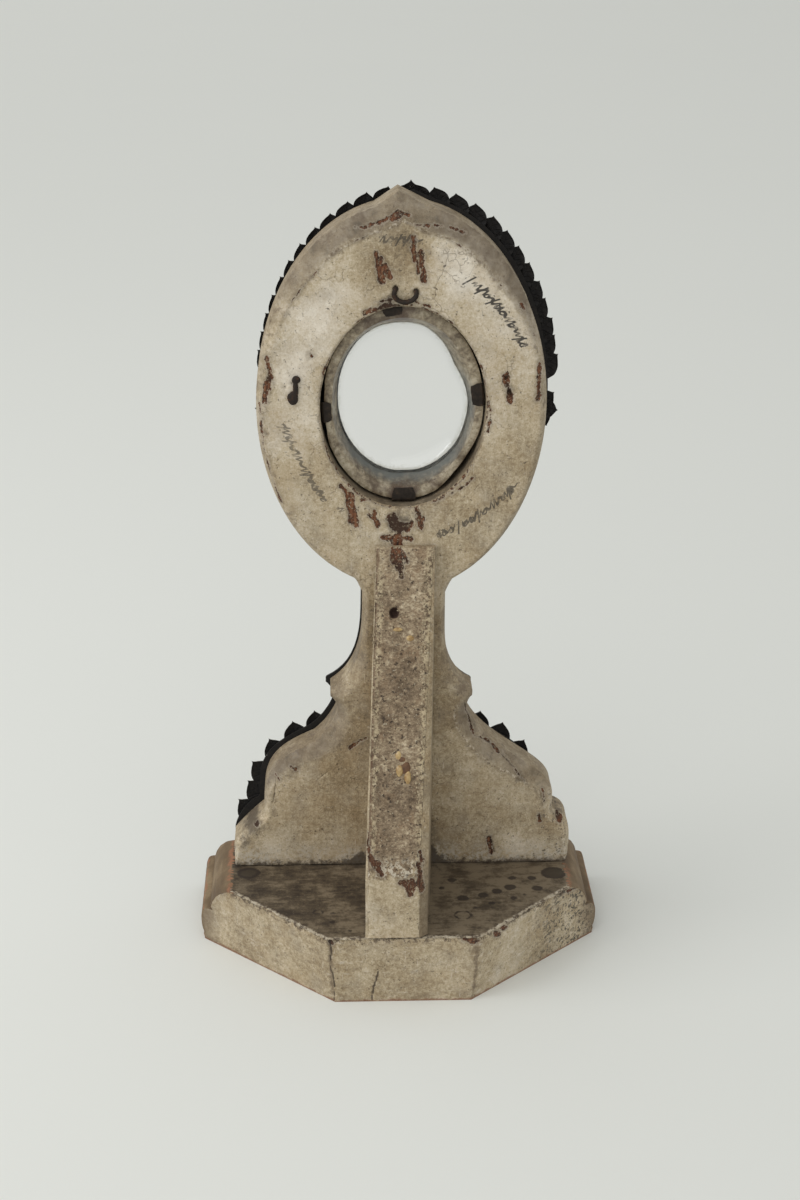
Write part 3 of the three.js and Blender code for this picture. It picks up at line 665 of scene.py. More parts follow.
# places in the board's plane, in millimetres: strokes are (x, z, x, z, radius)
bareWood = [
    (8.5, 261, 7.8, 256, 0.8), (7.4, 258.6, 6.9, 252, 1.35), (6, 257, 4.6, 254, 1.1),
    (4.6, 256, 3.5, 253.2, 0.6), (-3.7, 266.4, -4.4, 258.6, 0.75), (-6.3, 261, -7.4, 251.8, 0.95),
    (-5.2, 258.6, -5.8, 254.4, 0.5), (-9, 262, -9.2, 261.6, 0.35), (-2.9, 263.4, -3.1, 262.2, 0.3),
    (15.5, 269.6, 12, 269.8, 0.35), (10.6, 270.4, 6.6, 271.6, 0.45), (6, 271.8, 1.6, 274.4, 0.75),
    (3.4, 272.2, 1.2, 273, 0.7), (0.4, 274.6, -2.4, 273.6, 0.4), (-5, 270.6, -9, 270.2, 0.35),
    (-11, 270.2, -14, 270, 0.25), (-16, 269.4, -21, 267.6, 0.4), (17.7, 174.8, 16.4, 166, 1.7),
    (17.0, 172, 15.5, 164.6, 1.45), (20.9, 179, 18.6, 176.2, 0.75), (19, 176.4, 17.6, 174.8, 0.5),
    (11.8, 171.8, 10.4, 169.4, 0.35), (9.4, 169.6, 8.6, 166, 0.45), (9.0, 168.6, 7.9, 163.6, 0.7),
    (11.2, 168.4, 9.8, 166.6, 0.25), (13.6, 173.8, 12.2, 173.6, 0.35), (2.9, 166.6, 1.7, 163.8, 1.9),
    (1.2, 163.8, -2.6, 163.2, 1.6), (-3, 163.6, -4.2, 164.9, 0.9), (2.4, 168.2, 2.1, 166.8, 0.9),
    (0.6, 162.6, 0.4, 160.2, 1.1), (5.9, 159.4, -3.6, 158.9, 1.0), (1.3, 159, 1.0, 157, 1.9),
    (-5.8, 171.4, -6.4, 166, 0.7), (-6.6, 168.4, -7.1, 163.4, 1.0), (-5.1, 168.2, -5.6, 165.8, 0.4),
    (-8, 167.2, -8.4, 165.8, 0.4), (-36.2, 218.4, -36.4, 216.6, 1.25), (-37.1, 213.2, -37.8, 209.6, 1.15),
    (-36.8, 214.6, -37, 213.2, 0.7), (45.8, 225, 44.7, 219.4, 0.8), (44.6, 218.6, 45.7, 215, 1.15),
    (46, 214.4, 47.1, 209.8, 0.8), (-47.6, 222.4, -47.2, 210, 0.8), (-44.3, 235.6, -45.2, 232.4, 0.3),
    (-40.6, 243.4, -41.4, 241.8, 0.45), (-30.1, 209.8, -30.9, 206.2, 0.4), (-31, 204.6, -30.4, 198.6, 0.3),
    (31.2, 226.6, 30.6, 225.8, 0.5), (48.6, 209, 47.4, 192, 0.2), (47.2, 190, 42, 173, 0.2),
    (-34.2, 37.4, -34.7, 30.6, 0.7), (-34.4, 35.6, -34.6, 34.4, 0.9), (18.2, 76.2, 15.4, 78.2, 0.5),
    (15, 78.6, 12.4, 80.2, 0.35), (-52.7, 47.4, -53.2, 44.2, 0.6), (40.4, 68.6, 38.4, 67.6, 0.6),
    (45.9, 64.8, 44.6, 63, 0.4), (58, 50, 53.6, 44, 1.1), (-58.4, 50, -61, 44.4, 1.0),
    (11.8, 240.9, 5, 243.1, 1.0), (5, 243.2, -3.6, 243.4, 0.7), (9, 244.4, 2, 245.6, 0.3),
    (-4, 244.8, -9.5, 242.8, 0.35), (-24.8, 91, -27.4, 81, 0.2), (-28, 79.9, -33.5, 76.9, 0.3),
    (-34.2, 76.2, -39.6, 70.6, 0.35), (-40.2, 70.2, -42.8, 66.8, 0.3), (-43.4, 66, -47, 61.2, 0.2),
    (-54, 57, -54.8, 52.6, 0.3), (-14, 173.6, -18.2, 176, 0.3), (-18.6, 176.4, -22.4, 178.4, 0.3),
    (-22.8, 178.8, -25.8, 181.8, 0.35),
]
boardCracks = [
    [(-27.8, 80.4), (-33.6, 76.4), (-39.6, 70.2), (-43, 66.4), (-47, 60.8), (-52.8, 57.2), (-54.4, 52.6)],
    [(30.2, 63), (27, 66.0), (22.7, 69.4)],
    [(-23.4, 96), (-24.8, 90), (-27.2, 82)],
    [(-35.2, 36), (-36.4, 31)],
    [(47.6, 51), (46.3, 58), (45.9, 63.6)],
]
boardStains = [                         # x, z, radius, strength
    (36, 214, 2.6, 0.5), (38, 219, 3, 0.3), (-37, 214, 3.0, 0.7), (-38, 224, 2.2, 0.45), (45.4, 218, 3, 0.5),
    (38.4, 247, 2.6, 0.35), (40.4, 240, 2.2, 0.35), (41.6, 235, 1.8, 0.3), (0, 272, 6.5, 0.3),
    (-11, 269, 4, 0.3), (10, 269, 4, 0.3), (6.8, 256, 4.6, 0.3), (-6, 256, 4.0, 0.25), (1, 250, 4, 0.25),
    (0.8, 164.5, 4.5, 0.9), (4.6, 242.8, 4.5, 0.9), (17, 169, 3.4, 0.3), (9, 167, 3, 0.3), (-7, 167, 3, 0.3),
    (60, 46, 4.5, 0.7), (55, 43, 5, 0.8), (58, 36, 3, 0.6), (-59.8, 46.7, 4, 0.6), (57, 54, 3, 0.5),
    (-45, 63, 2.5, 0.5), (-53, 55, 3, 0.45), (49, 60, 3, 0.35), (14.6, 100, 2.5, 0.25), (10.6, 118, 2, 0.35),
    (-47, 62, 6, 0.25), (14, 60, 3, 0.25), (13, 44, 3, 0.4), (-12, 60, 4, 0.25), (-13, 44, 4.5, 0.5),
    (-12, 36, 5, 0.6), (15, 32, 5, 0.45), (40, 66, 4, 0.4), (47, 55, 2.5, 0.4), (-22, 98, 4, 0.3),
    (19, 99, 3.5, 0.3), (-1, 243.6, 6, 0.25), (-1, 169.6, 6, 0.25), (-26, 168, 3, 0.2),
]
# areas where the paint is made lighter, then areas where it is made darker: x, z, radius, strength
paleAreas = [
    (30, 236, 10, 0.8), (36, 220, 7, 0.7), (22, 248, 7, 0.45), (33, 226, 5, 0.3), (-18, 257, 7, 0.75),
    (-13, 262, 4, 0.4), (-26, 250, 7, 0.35), (37, 200, 10, 0.35), (-38, 238, 8, 0.2), (-37, 196, 12, 0.05),
    (38, 40, 10, 0.12), (-43, 36, 7, 0.3), (-47, 34, 7, 0.2), (46, 33, 6, 0.3), (35, 66, 5, 0.3),
    (-30, 66, 8, 0.12), (-10, 140, 5, 0.2), (10, 148, 5, 0.15), (-20, 100, 3, 0.3), (20, 105, 3, 0.4),
    (-26, 40, 6, 0.1),
]
darkerAreas = [
    (0, 262, 9, 0.35), (-2, 268, 7, 0.3), (12, 256, 7, 0.3), (0, 70, 60, 0.30), (0, 100, 34, 0.30),
    (0, 130, 16, 0.15), (44, 258, 10, 0.2), (-44, 258, 10, 0.1), (-40, 190, 14, 0.2), (-30, 172, 12, 0.22),
    (28, 168, 12, 0.12), (-20, 60, 12, 0.15), (22, 50, 14, 0.15), (18, 80, 8, 0.15),
]
penRows = [                             # rows of faded pen strokes: points, how tall they are and how dark
    ([(7.6, 265.6), (0.4, 266.4), (-7.8, 264.9)], 1.5, 0.75),
    ([(-21.6, 253.0), (-30.6, 246.6), (-38.2, 237.4), (-42.6, 227.4)], 1.75, 1.0),
    ([(40.9, 202.6), (37.4, 192), (31.6, 180.6), (25.6, 172.4)], 1.6, 0.7),
    ([(22.4, 171.0), (19.6, 169.6)], 1.2, 0.7),
    ([(-12.6, 160.2), (-22, 163.4), (-31, 169.4), (-39, 177.4)], 1.7, 0.8),
]


boardHoles = [                          # small holes in the board: x, z, x, z, radius
    (39.8, 215.2, 39.8, 215.2, 0.4), (37.6, 216.2, 37.6, 216.2, 0.35), (44.2, 213, 44.2, 213, 0.3),
    (-36.2, 217.8, -36.2, 217.4, 0.55), (-37.4, 212.6, -37.6, 211.6, 0.7), (1.9, 249.1, 1.9, 249.1, 0.8),
    (-4.8, 248.2, -4.8, 248.2, 0.8), (26.7, 60.8, 26.7, 60.6, 0.3), (-19.5, 54.0, -19.5, 53.8, 0.35),
    (28.8, 41.5, 28.6, 41.2, 0.3),
]
rubbedSides = [(-49.4, 225, -49.6, 209.5, 1.8), (49, 227, 49.9, 209.9, 1.6)]


def bevelWidths(x, z):
    heights, left, right = np.array(bevelTable).T
    return np.where(x > 0, np.interp(z, heights, left), np.interp(z, heights, right))


def baseDirt(flat):                     # how far each point lies below the ragged top of the dirt at the foot
    top = 28.7 + 2.6 * np.exp(-((flat[:, 0] - 14) / 5) ** 2) + 5.5 * np.exp(-((flat[:, 0] + 11) / 4.4) ** 2)
    top += 1.6 * np.exp(-np.abs(np.abs(flat[:, 0] - 0.8) - 13.5) / 3.5)
    return np.clip(top - flat[:, 1], -6, 5)


def boardDepths(flat, side, ring):
    # how far the back surface lies in from the board's back plane, and the marks that its finish needs
    away, along, _ = nearPath(flat, side)
    width = bevelWidths(*flat.T)
    ragged = width * (1 + 0.14 * bumps(np.c_[along, np.zeros(len(along))], 9, 3, 2))
    share = np.clip(away / ragged, 0, 1)
    depth = boardMake["bevelDepth"] * smoothStep(0, 1.6, width) * (1 - share) ** 1.5
    gouged = (1 - share) * np.clip(share * 5, 0, 1)
    depth += 0.45 * gouged * bumps(flat, 4.2, 5, 3)
    rim = nearPath(flat, ring)[0]
    rim = np.where(rim < 1e-6, 0, rim)
    worn = 0.9 + 0.8 * lumps(flat, 7, 11, 2)
    depth += 0.8 * np.clip(1 - rim / worn, 0, 1) ** 2
    bare = -toStrokes(flat, bareWood) + 0.85 * bumps(flat * (1.3, 0.7), 1.7, 21, 3) - 0.1
    chipped = 0.1 - rim + 1.5 * bumps(flat, 4.5, 31, 3)
    bare = np.maximum(bare, np.clip(chipped, -3, 0.3))
    ridge = away - ragged
    crumbled = 0.9 * bumps(flat, 2.4, 25, 2) - 0.35 - np.abs(ridge - 0.2)
    bare = np.maximum(bare, np.where(flat[:, 1] > 236, np.clip(crumbled, -3, 0.2), -3))
    depth += boardMake["flakeDepth"] * smoothStep(-0.15, 0.2, bare)
    depth += 0.22 * smoothStep(0, 0.6, bare) * bumps(flat * (3, 0.7), 2.2, 23, 2)
    depth += boardMake["handCut"] * bumps(flat, 16, 41, 2) + 0.05 * bumps(flat, 3.5, 43, 2)
    # the paint's thick edge stands up a little along the inner line of the bevel
    depth -= 0.14 * np.exp(-((ridge - 0.5) / 0.6) ** 2) * lumps(flat, 3, 27, 2, 0.35)
    crack = toLines(flat, boardCracks) + 0.18 * bumps(flat, 1.1, 51) + 0.5 * lumps(flat, 3.4, 52, 1, 0.25)
    depth += 0.3 * smoothStep(0.45, 0.1, crack)
    holes = toStrokes(flat, boardHoles)
    depth += 1.6 * smoothStep(0.3, -0.3, holes)
    return depth, {"bare": np.clip(bare, -3, 3), "ridge": np.clip(ridge, -20, 20), "rim": np.minimum(rim, 20),
                   "crack": smoothStep(0.55, 0.05, crack) + smoothStep(0.5, -0.2, holes)}


def penPlaces(flat):                    # how far along a row of strokes each point is, and across it
    along, across = np.zeros(len(flat)), np.full(len(flat), 9.0)
    shown, start = np.zeros(len(flat)), 0.0
    for points, tall, dark in penRows:
        path = evenly(curvePoints(*points, steps=40), 0.5)
        length = 0.5 * (len(path) - 1)
        distance, run, side = nearPath(flat, path)
        near = (distance < 6) & (run > 0.02) & (run < length - 0.02)
        along = np.where(near, run + start, along)
        across = np.where(near, distance * side / tall, across)
        shown = np.where(near & (distance < 4.4), dark, shown)
        start += 40
    return {"penAlong": along, "penAcross": across, "penShown": shown}


def boardWall(loop, start, marks, kind, turn):  # a side wall, forward from the back surface's own points
    back, thick = boardMake["back"], boardMake["back"] - boardMake["front"]
    rows = int(thick / boardMake["wallStep"])
    step = np.roll(loop, -1, 0) - np.roll(loop, 1, 0)
    outward = np.c_[step[:, 1], -step[:, 0]] / np.hypot(*step.T)[:, None] * turn
    grid = []
    for share in np.linspace(0, 1, rows + 1) ** 1.15:
        y = back - blend(start, thick, share)
        rough = bumps(np.c_[loop[:, 0], y * 0.35, loop[:, 1]], 3.4, 61, 3) * 0.22
        fade = math.sin(math.pi * share) if share < 0.5 else 1 if share < 0.93 else (1 - share) / 0.07
        moved = loop + outward * (rough * min(1, 2 * fade))[:, None]
        moved[:, 1] = np.where(loop[:, 1] <= standing + 0.01, standing, np.maximum(moved[:, 1], standing))
        grid.append(np.c_[moved[:, 0], y, moved[:, 1]])
    wall = np.vstack(grid)
    flat = wall[:, [0, 2]]
    bare = -toStrokes(flat, rubbedSides) + 0.9 * bumps(wall, 2, 23, 3) - 0.5 * (back - wall[:, 1])
    values = {name: np.tile(value, rows + 1) for name, value in marks.items()}
    values.update(bare=np.clip(bare, -3, 3), cut=kind, foot=baseDirt(flat), penAcross=9.0)
    return wall, stripFaces(rows + 1, len(loop)), values


def buildBoard():
    make = boardMake
    outline, side = outlineLoop(boardForm, 0.7)
    opening = ovalLoop(make["openingX"], make["openingZ"],
                       make["openingHalfWidth"], make["openingHalfHeight"], 0.6)
    side, ring = evenly(side, 2.0), closedPath(opening)
    lattice, coarse = hexPoints((-66, 27.2), (66, 281), make["spacing"])
    inside = insideLoop(lattice, outline) & ~insideLoop(lattice, opening)
    lattice, coarse = lattice[inside], coarse[inside]
    toEdge, toRim = nearPath(lattice, side)[0], nearPath(lattice, ring)[0]
    marks = np.abs(toStrokes(lattice, bareWood))
    fine = (marks < 0.9) | (toRim < 2.0) | (np.abs(toEdge - bevelWidths(*lattice.T)) < 1.4) | (toEdge < 1.6)
    underStrut = (np.abs(lattice[:, 0] + 2) < 8) & (lattice[:, 1] < 153)
    inner = lattice[(coarse | fine) & ~(underStrut & ~coarse) & (toRim > 0.25) & (toEdge > 0.3)]
    extra = []
    for line in boardCracks:            # rows of points that follow each crack
        path = evenly(line, 0.35)
        step = np.gradient(path, axis=0)
        across = np.c_[-step[:, 1], step[:, 0]] / np.hypot(*step.T)[:, None]
        extra += [path + across * shift for shift in (-0.5, -0.2, 0.0, 0.2, 0.5)]
        inner = inner[nearPath(inner, path)[0] > 0.62]
    flat, triangles = fillFlat([outline, opening], np.vstack([inner] + extra))
    depth, marks = boardDepths(flat, side, ring)
    depth[:len(outline)] = np.maximum(depth[:len(outline)], 0.05)
    marks["stain"] = np.clip(softSpots(flat, boardStains), 0, 1)
    marks["pale"] = np.clip(softSpots(flat, paleAreas) - softSpots(flat, darkerAreas), -1, 1)
    values = {**marks, **penPlaces(flat), "foot": baseDirt(flat)}
    parts = [(np.c_[flat[:, 0], make["back"] - depth, flat[:, 1]], triangles, values)]
    for first, loop, kind, turn in ((0, outline, 1.0, 1), (len(outline), opening, 2.0, -1)):
        own = slice(first, first + len(loop))
        kept = {name: marks[name][own] for name in ("stain", "pale", "rim", "ridge")}
        parts.append(boardWall(loop, depth[own], kept, kind, turn))
    lattice = hexPoints((-66, 27.5), (66, 281), make["frontSpacing"])[0]
    roomy = (nearPath(lattice, side)[0] > 1.2) & (nearPath(lattice, ring)[0] > 1.2)
    lattice = lattice[insideLoop(lattice, outline) & ~insideLoop(lattice, opening) & roomy]
    flat, triangles = fillFlat([outline, opening], lattice)
    values = {"cut": 3.0, "bare": -3.0, "penAcross": 9.0, "rim": 20.0, "ridge": 20.0, "foot": -4.0}
    parts.append((np.c_[flat[:, 0], np.full(len(flat), make["front"]), flat[:, 1]], triangles, values))
    return joinParts(parts)


gesso = dict(
    white=(0.84, 0.765, 0.655), pale=(0.70, 0.615, 0.495), cream=(0.525, 0.432, 0.295),
    dirty=(0.30, 0.225, 0.132), brown=(0.145, 0.104, 0.06), grime=(0.042, 0.028, 0.018),
    mauve=(0.165, 0.125, 0.084), slate=(0.088, 0.070, 0.051), wood=(0.165, 0.060, 0.025),
    woodDark=(0.030, 0.015, 0.008), woodPale=(0.26, 0.125, 0.062), ink=(0.035, 0.03, 0.026),
)


def gessoColors(paint, tone, grime):    # cream paint over gesso, aged unevenly; tone 0 is dirty and 1 pale
    small = paint.noise(1.6, 4, 0.72)
    aged = (tone + paint.drift(0.55, 24, 3, twist=0.3) + paint.drift(0.5, 6, 4, 0.6) + (small - 0.5) * 0.85
            + paint.drift(0.55, 0.6, 2, 0.65))
    warm = paint.noise(12, 4, 0.6, seed=3).step(0.42, 0.74)
    cool = paint.noise(9, 4, 0.6, seed=7).step(0.42, 0.76)
    # fine cracks, scuffs and dark specks of old dirt
    cracked = paint.cells(8, paint.warped(5, 6), "DISTANCE_TO_EDGE").step(0.018, 0.003)
    cracked = cracked * paint.noise(9, 3, seed=5).step(0.53, 0.62)
    scuffs = paint.noise(0.8, 2, 0.6, place=paint.mapped((1, 1, 0.07), (0, 0.6, 0)), seed=1).step(0.63, 0.7)
    specks = paint.noise(1.0, 3, 0.68, seed=2).step(0.59, 0.67) * paint.noise(5, 4, seed=4).step(0.36, 0.56)
    smears = paint.noise(4, 5, 0.74, seed=16, twist=0.6).step(0.56, 0.70)
    rubbed = paint.noise(1.1, 3, 0.65, seed=9).step(0.60, 0.7)
    ragged = (grime + paint.drift(1.5, 2.6, 5, 0.72)).step(0.3, 0.85)
    tones = [gesso[name] for name in ("brown", "dirty", "cream", "pale", "white")]
    color = paint.coats(
        paint.ramp(aged, *zip((0.0, 0.25, 0.5, 0.75, 1.0), tones)),
        (warm * 0.35, (0.36, 0.25, 0.13)), (cool * 0.28, (0.29, 0.262, 0.225)), (cracked * 0.5, gesso["brown"]),
        (scuffs * paint.noise(7, 2, seed=8).step(0.5, 0.6) * 0.35, gesso["white"]),
        (specks * 0.8, gesso["grime"]), (smears * 0.35, gesso["brown"]), (rubbed * 0.25, gesso["white"]),
        (ragged * 0.75, gesso["grime"]),
    )
    return color, small, cracked


def bareWoodColor(paint):               # brown wood with its grain upright
    grain = paint.noise(0.7, 4, 0.65, place=paint.mapped((1, 1, 0.13)))
    tones = [gesso[name] for name in ("woodDark", "wood", "woodPale")]
    return paint.ramp(grain, *zip((0.34, 0.52, 0.70), tones)), grain


def layBare(paint, color, dark=0.0):    # chips: stained and broken paint, with brown wood inside
    bare = paint.value("bare")
    wood, grain = bareWoodColor(paint)
    ragged = bare + paint.drift(2.6, 1.0, 4, 0.75)
    halo = (bare + paint.drift(2.6, 2.6, 4, 0.7, seed=12)).step(-1.5, 0.1)
    border = ragged.step(-0.7, -0.2) * ragged.step(0.1, -0.1)
    shown = ragged.step(-0.2, 0.12) * paint.noise(0.9, 3, 0.7, seed=28).step(0.62, 0.55)
    charred = ragged.step(0.55, 0.0) * 0.5 + paint.noise(1.8, 5, 0.74, seed=20).step(0.47, 0.60) * 0.85
    inside = paint.mix(charred.most(dark) * 0.9, wood, gesso["woodDark"])
    layers = (halo * 0.5, gesso["brown"]), (border * 0.16, gesso["white"]), (shown, inside)
    return paint.coats(color, *layers), shown, grain


def penStrokes(paint):                  # faded strokes in a row: slanted waves, ticks and loops
    along, across = paint.value("penAlong"), paint.value("penAcross")
    slanted = along + across * 0.8
    phase = slanted * (2 * math.pi / 2.1) + (slanted * 1.13).math("SINE") * 1.2
    height = 0.42 + (slanted * 0.83).math("SINE") * 0.2
    wave, slope = phase.math("SINE") * height, phase.math("COSINE") * height * 4.2
    thin = (across - wave).size() / (slope * slope + 1.0).math("SQRT")
    cell = slanted / 2.7
    chance = paint.number("ShaderNodeTexWhiteNoise", {"noise_dimensions": "1D"}, {"W": cell.math("FLOOR")})
    inCell = (cell.math("FRACT") - 0.5) * 2.7
    tall = inCell.size().step(0.40, 0.22) * chance.step(0.58, 0.6)
    tall = tall * across.step(1.7, 1.5) * across.step(-1.3, -1.1)
    loop = ((inCell * inCell + (across - 0.2) * (across - 0.2) * 2.6).math("SQRT") - 0.72).size()
    curl = loop.step(0.36, 0.18) * chance.step(0.34, 0.32)
    line = thin.step(0.36, 0.18) * across.size().step(1.1, 1.0) * chance.step(0.9, 0.88)
    faded = paint.noise(2.6, 3, seed=6).step(0.30, 0.5) * 0.7 + 0.3
    return line.most(tall).most(curl) * paint.value("penShown") * faded


def makeGessoPaint():
    paint = Finish("gessoPaint")
    cut, ridge = paint.value("cut"), paint.value("ridge")
    across, height = paint.axis(0), paint.axis(2)
    wall = cut.step(0.5, 0.9)
    streaks = paint.noise(1.2, 3, 0.6, place=paint.mapped((1, 1, 0.07))) - 0.5
    # painted light: the right side (-x) of the head and of the shoulders is painted lighter, to lift the shade
    # that falls there
    paintedLighter = height.step(190, 215) * 0.07 + height.step(112, 92) * height.step(45, 55) * 0.1
    tone = 0.49 + paint.value("pale") * 0.52 - wall * 0.12 + streaks * 0.14 + across.step(4, -22) * paintedLighter
    color, small, cracked = gessoColors(paint, tone, paint.value("stain"))
    # the worn bevel is greyer, with dark streaks and patches
    band = (ridge + paint.drift(5.0, 3.5, 5, 0.7)).step(2.4, -2.6) * height.step(50, 62) * (1 - wall * 0.5)
    righter = across.step(8, -34) * (height.step(100, 130) * 0.3 - 0.1)
    strength = height.step(226, 256) * 0.54 + height.step(106, 92) * 0.52 + righter
    strength = (strength + paint.drift(1.2, 8, 3, seed=21) + 0.22).most(0.1).least(0.92)
    bandColor = paint.ramp(paint.noise(6, 5, 0.7, twist=0.8), (0.33, gesso["slate"]), (0.47, gesso["mauve"]),
                           (0.6, (0.22, 0.18, 0.135)), (0.75, gesso["dirty"]))
    # along the bevel's inner line the paint is broken: pale crumbs and brown gaps
    line = (ridge + paint.drift(3.2, 2.2, 4, 0.72, seed=8)).size().step(0.75, 0.2)
    crumbs = paint.noise(1.6, 3, 0.7, seed=11)
    upper = height.step(244, 264).most(height.step(100, 90) * across.step(10, -20) * 0.8) * 0.85 + 0.12
    streaky = paint.noise(5, 5, 0.74, seed=13).step(0.53, 0.64) * ridge.step(5, 0.5)
    # dirt at the opening's rim and along the foot; the opening's wall is darkened, more in its lower half:
    # painted shade in that recess, with dirt mottled through it
    rimDirt = (paint.value("rim") + paint.drift(3.4, 2.4, 4, 0.7)).step(0.9, -0.3) * (1 - wall)
    wallDirtAndShade = paint.noise(4, 4, 0.65).step(0.3, 0.65) * 0.5 + height.step(206, 186) * 0.4
    dusted = height.step(38, 29) * paint.noise(1.4, 4, 0.72, seed=17).step(0.42, 0.56) * (1 - wall)
    dusted = dusted * paint.noise(9, 4, 0.65, seed=24).step(0.36, 0.58)
    footDirt = (paint.value("foot") + paint.drift(12, 1.8, 5, 0.75) - 0.6).step(-1.4, 1.6)
    mould = paint.noise(1.3, 4, 0.68, seed=15).step(0.56, 0.62) * across.step(-50, -56) * height.step(62, 52)
    color = paint.coats(
        color, (band * strength, bandColor),
        (line * crumbs.step(0.52, 0.6) * upper * 0.75, gesso["pale"]),
        (line * crumbs.step(0.48, 0.41) * upper * 0.85, gesso["brown"]),
        (streaky * 0.6, (0.15, 0.11, 0.076)), (rimDirt * 0.6, gesso["brown"]),
        (cut.step(1.5, 1.9) * cut.step(2.6, 2.2) * wallDirtAndShade, (0.12, 0.092, 0.062)),
        (dusted * 0.75, (0.56, 0.51, 0.43)), (footDirt * 0.85, gesso["grime"]),
        (mould * 0.75, (0.05, 0.045, 0.038)), (penStrokes(paint) * 0.95, gesso["ink"]),
    )
    color, shown, grain = layBare(paint, color, paint.value("stain").step(0.28, 0.55))
    split = (paint.value("crack") + paint.drift(1.2, 1.6, 4, 0.7, seed=23)).step(0.5, 1.1)
    color = paint.coats(color, (cut.step(2.6, 2.9) * 0.85, (0.14, 0.085, 0.05)),
                        (split * 0.75, (0.06, 0.04, 0.026)))
    relief = (small * 0.6 + paint.noise(0.5, 3, 0.7) * 0.4 + streaks * 0.3 - cracked * 0.5) * (1 - shown)
    return paint.finishWith(color, 0.6 + small * 0.3 + shown * 0.12, relief + grain * shown, 0.14)


boardParts = buildBoard()
boardPiece = makeMesh("backBoard", *boardParts, finishes=[makeGessoPaint()], crisp=60)
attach(boardPiece, "root")
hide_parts("back_board")
print("back board:", len(boardPiece.data.polygons), "triangles")


# plinth: moulded front and sides, plain faces cut at the back

plinthMake = dict(
    height=plinthTop, topHalfWidth=62.6, topFront=-29.6, back=42.0, backHalfAtTop=27.8, backHalfAtFoot=24.6,
    chamferEndX=75.2, chamferEndY=-2.6, cornerRadius=2.0, spacing=0.75, topSpacing=0.62, roughness=0.13,
    moulding=[(0, 11.3), (2.6, 11.9), (6, 12.5), (10.5, 12.5), (13, 11.7), (13.9, 9.9), (14.3, 8.1),
              (15.4, 8.8), (18, 8.1), (21, 6.6), (23.6, 4.5), (25.4, 2), (26.4, 0)],
    bulges=[(0, 0.3), (1.5, 0.5), (2.6, 0.1), (4, 0.0), (10.5, 0.1), (13, 0.55), (13.6, 0.2), (14.3, -0.7),
            (15.2, 0.4), (16, 0.1), (20, 0.0), (24, 0.1), (25.6, 0.5), (26.4, 0.6)],
)
topSpots = [                            # old wax and ink drops on the plinth's top: x, y, radius, ring or dot
    (56.8, -4.6, 4.4, 1), (30.5, 23.4, 1.7, -1), (25.1, 24.3, 1.0, 1), (25.4, 30.3, 1.1, 1), (19, 36.2, 0.9, 1),
    (-19.6, 2.5, 1.7, 1), (-22.9, 15.3, 2.2, 1), (-30.5, 13.4, 2.0, 1), (-35.9, 10.8, 2.0, 1),
    (-41, 8.1, 2.2, 1), (-42.3, 1.7, 1.6, 1), (-49.8, 1.9, 1.8, 1), (-51, 9.1, 2.1, 1), (-22.2, 26.9, 3.0, -1),
    (-33.4, 19.1, 1.3, 1), (-41.8, 15.8, 1.5, 1), (-27, 22, 0.9, 1), (-46, 13.5, 0.9, 1), (-15.5, 8, 1.2, 1),
    (-58.4, -1.6, 4.8, 1),
]


def plinthCorners(z, out):
    make = plinthMake
    halfWidth, front = make["topHalfWidth"] + out, make["topFront"] - out
    backHalf = blend(make["backHalfAtFoot"], make["backHalfAtTop"], z / make["height"])
    along = (halfWidth - backHalf) / (make["chamferEndX"] - backHalf)
    sideY = blend(make["back"], make["chamferEndY"], along)
    return halfWidth, front, backHalf, sideY


def plinthRing(z, out):                 # the same number of points on each side at every height
    halfWidth, front, backHalf, sideY = plinthCorners(z, out)
    radius, back = plinthMake["cornerRadius"], plinthMake["back"]
    turn = np.linspace(-math.pi / 2, 0, 7)
    corner = np.c_[halfWidth - radius + radius * np.cos(turn), front + radius + radius * np.sin(turn)]
    sideRun = np.linspace(0, 1, 50)[1:, None]
    right = np.vstack([corner, blend(corner[-1], np.array((halfWidth, sideY)), sideRun)])
    chamfer = blend(np.array((halfWidth, sideY)), np.array((backHalf, back)), np.linspace(0, 1, 84)[1:, None])
    right = np.vstack([right, chamfer])
    middle = blend(np.array((backHalf, back)), np.array((-backHalf, back)), np.linspace(0, 1, 78)[1:-1, None])
    left = (right * (-1, 1))[::-1]
    frontRun = blend(left[-1], right[0], np.linspace(0, 1, 150)[1:-1, None])
    return np.vstack([right, middle, left, frontRun])


def mouldingCurve():                    # the profile, smooth between its arrises
    profile = np.array(plinthMake["moulding"], float)
    levels = [np.linspace(a, b, n, endpoint=False) for a, b, n in
              ((0, 2.6, 4), (2.6, 13, 16), (13, 14.3, 6), (14.3, 15.4, 4), (15.4, 26.4, 18))]
    z = np.r_[np.concatenate(levels), plinthTop]
    lower = 9.9 + 2.6 * np.sqrt(np.clip(1 - ((z - 8) / 6.2) ** 2, 0, 1))
    out = np.interp(z, profile[:, 0], profile[:, 1])
    rounded = np.where((z > 2) & (z < 13.6), np.minimum(lower, 12.55), out)
    out = np.where((z > 2) & (z < 13.4), 0.4 * out + 0.6 * rounded, out)
    return z, out


def backEdgeDistance(flat):             # distance on the top to the arrises of the three back faces
    halfWidth, _, backHalf, sideY = plinthCorners(plinthTop, 0)
    back = plinthMake["back"]
    line = np.array([(halfWidth, sideY), (backHalf, back), (-backHalf, back), (-halfWidth, sideY)])
    return nearPath(flat, line)[0]


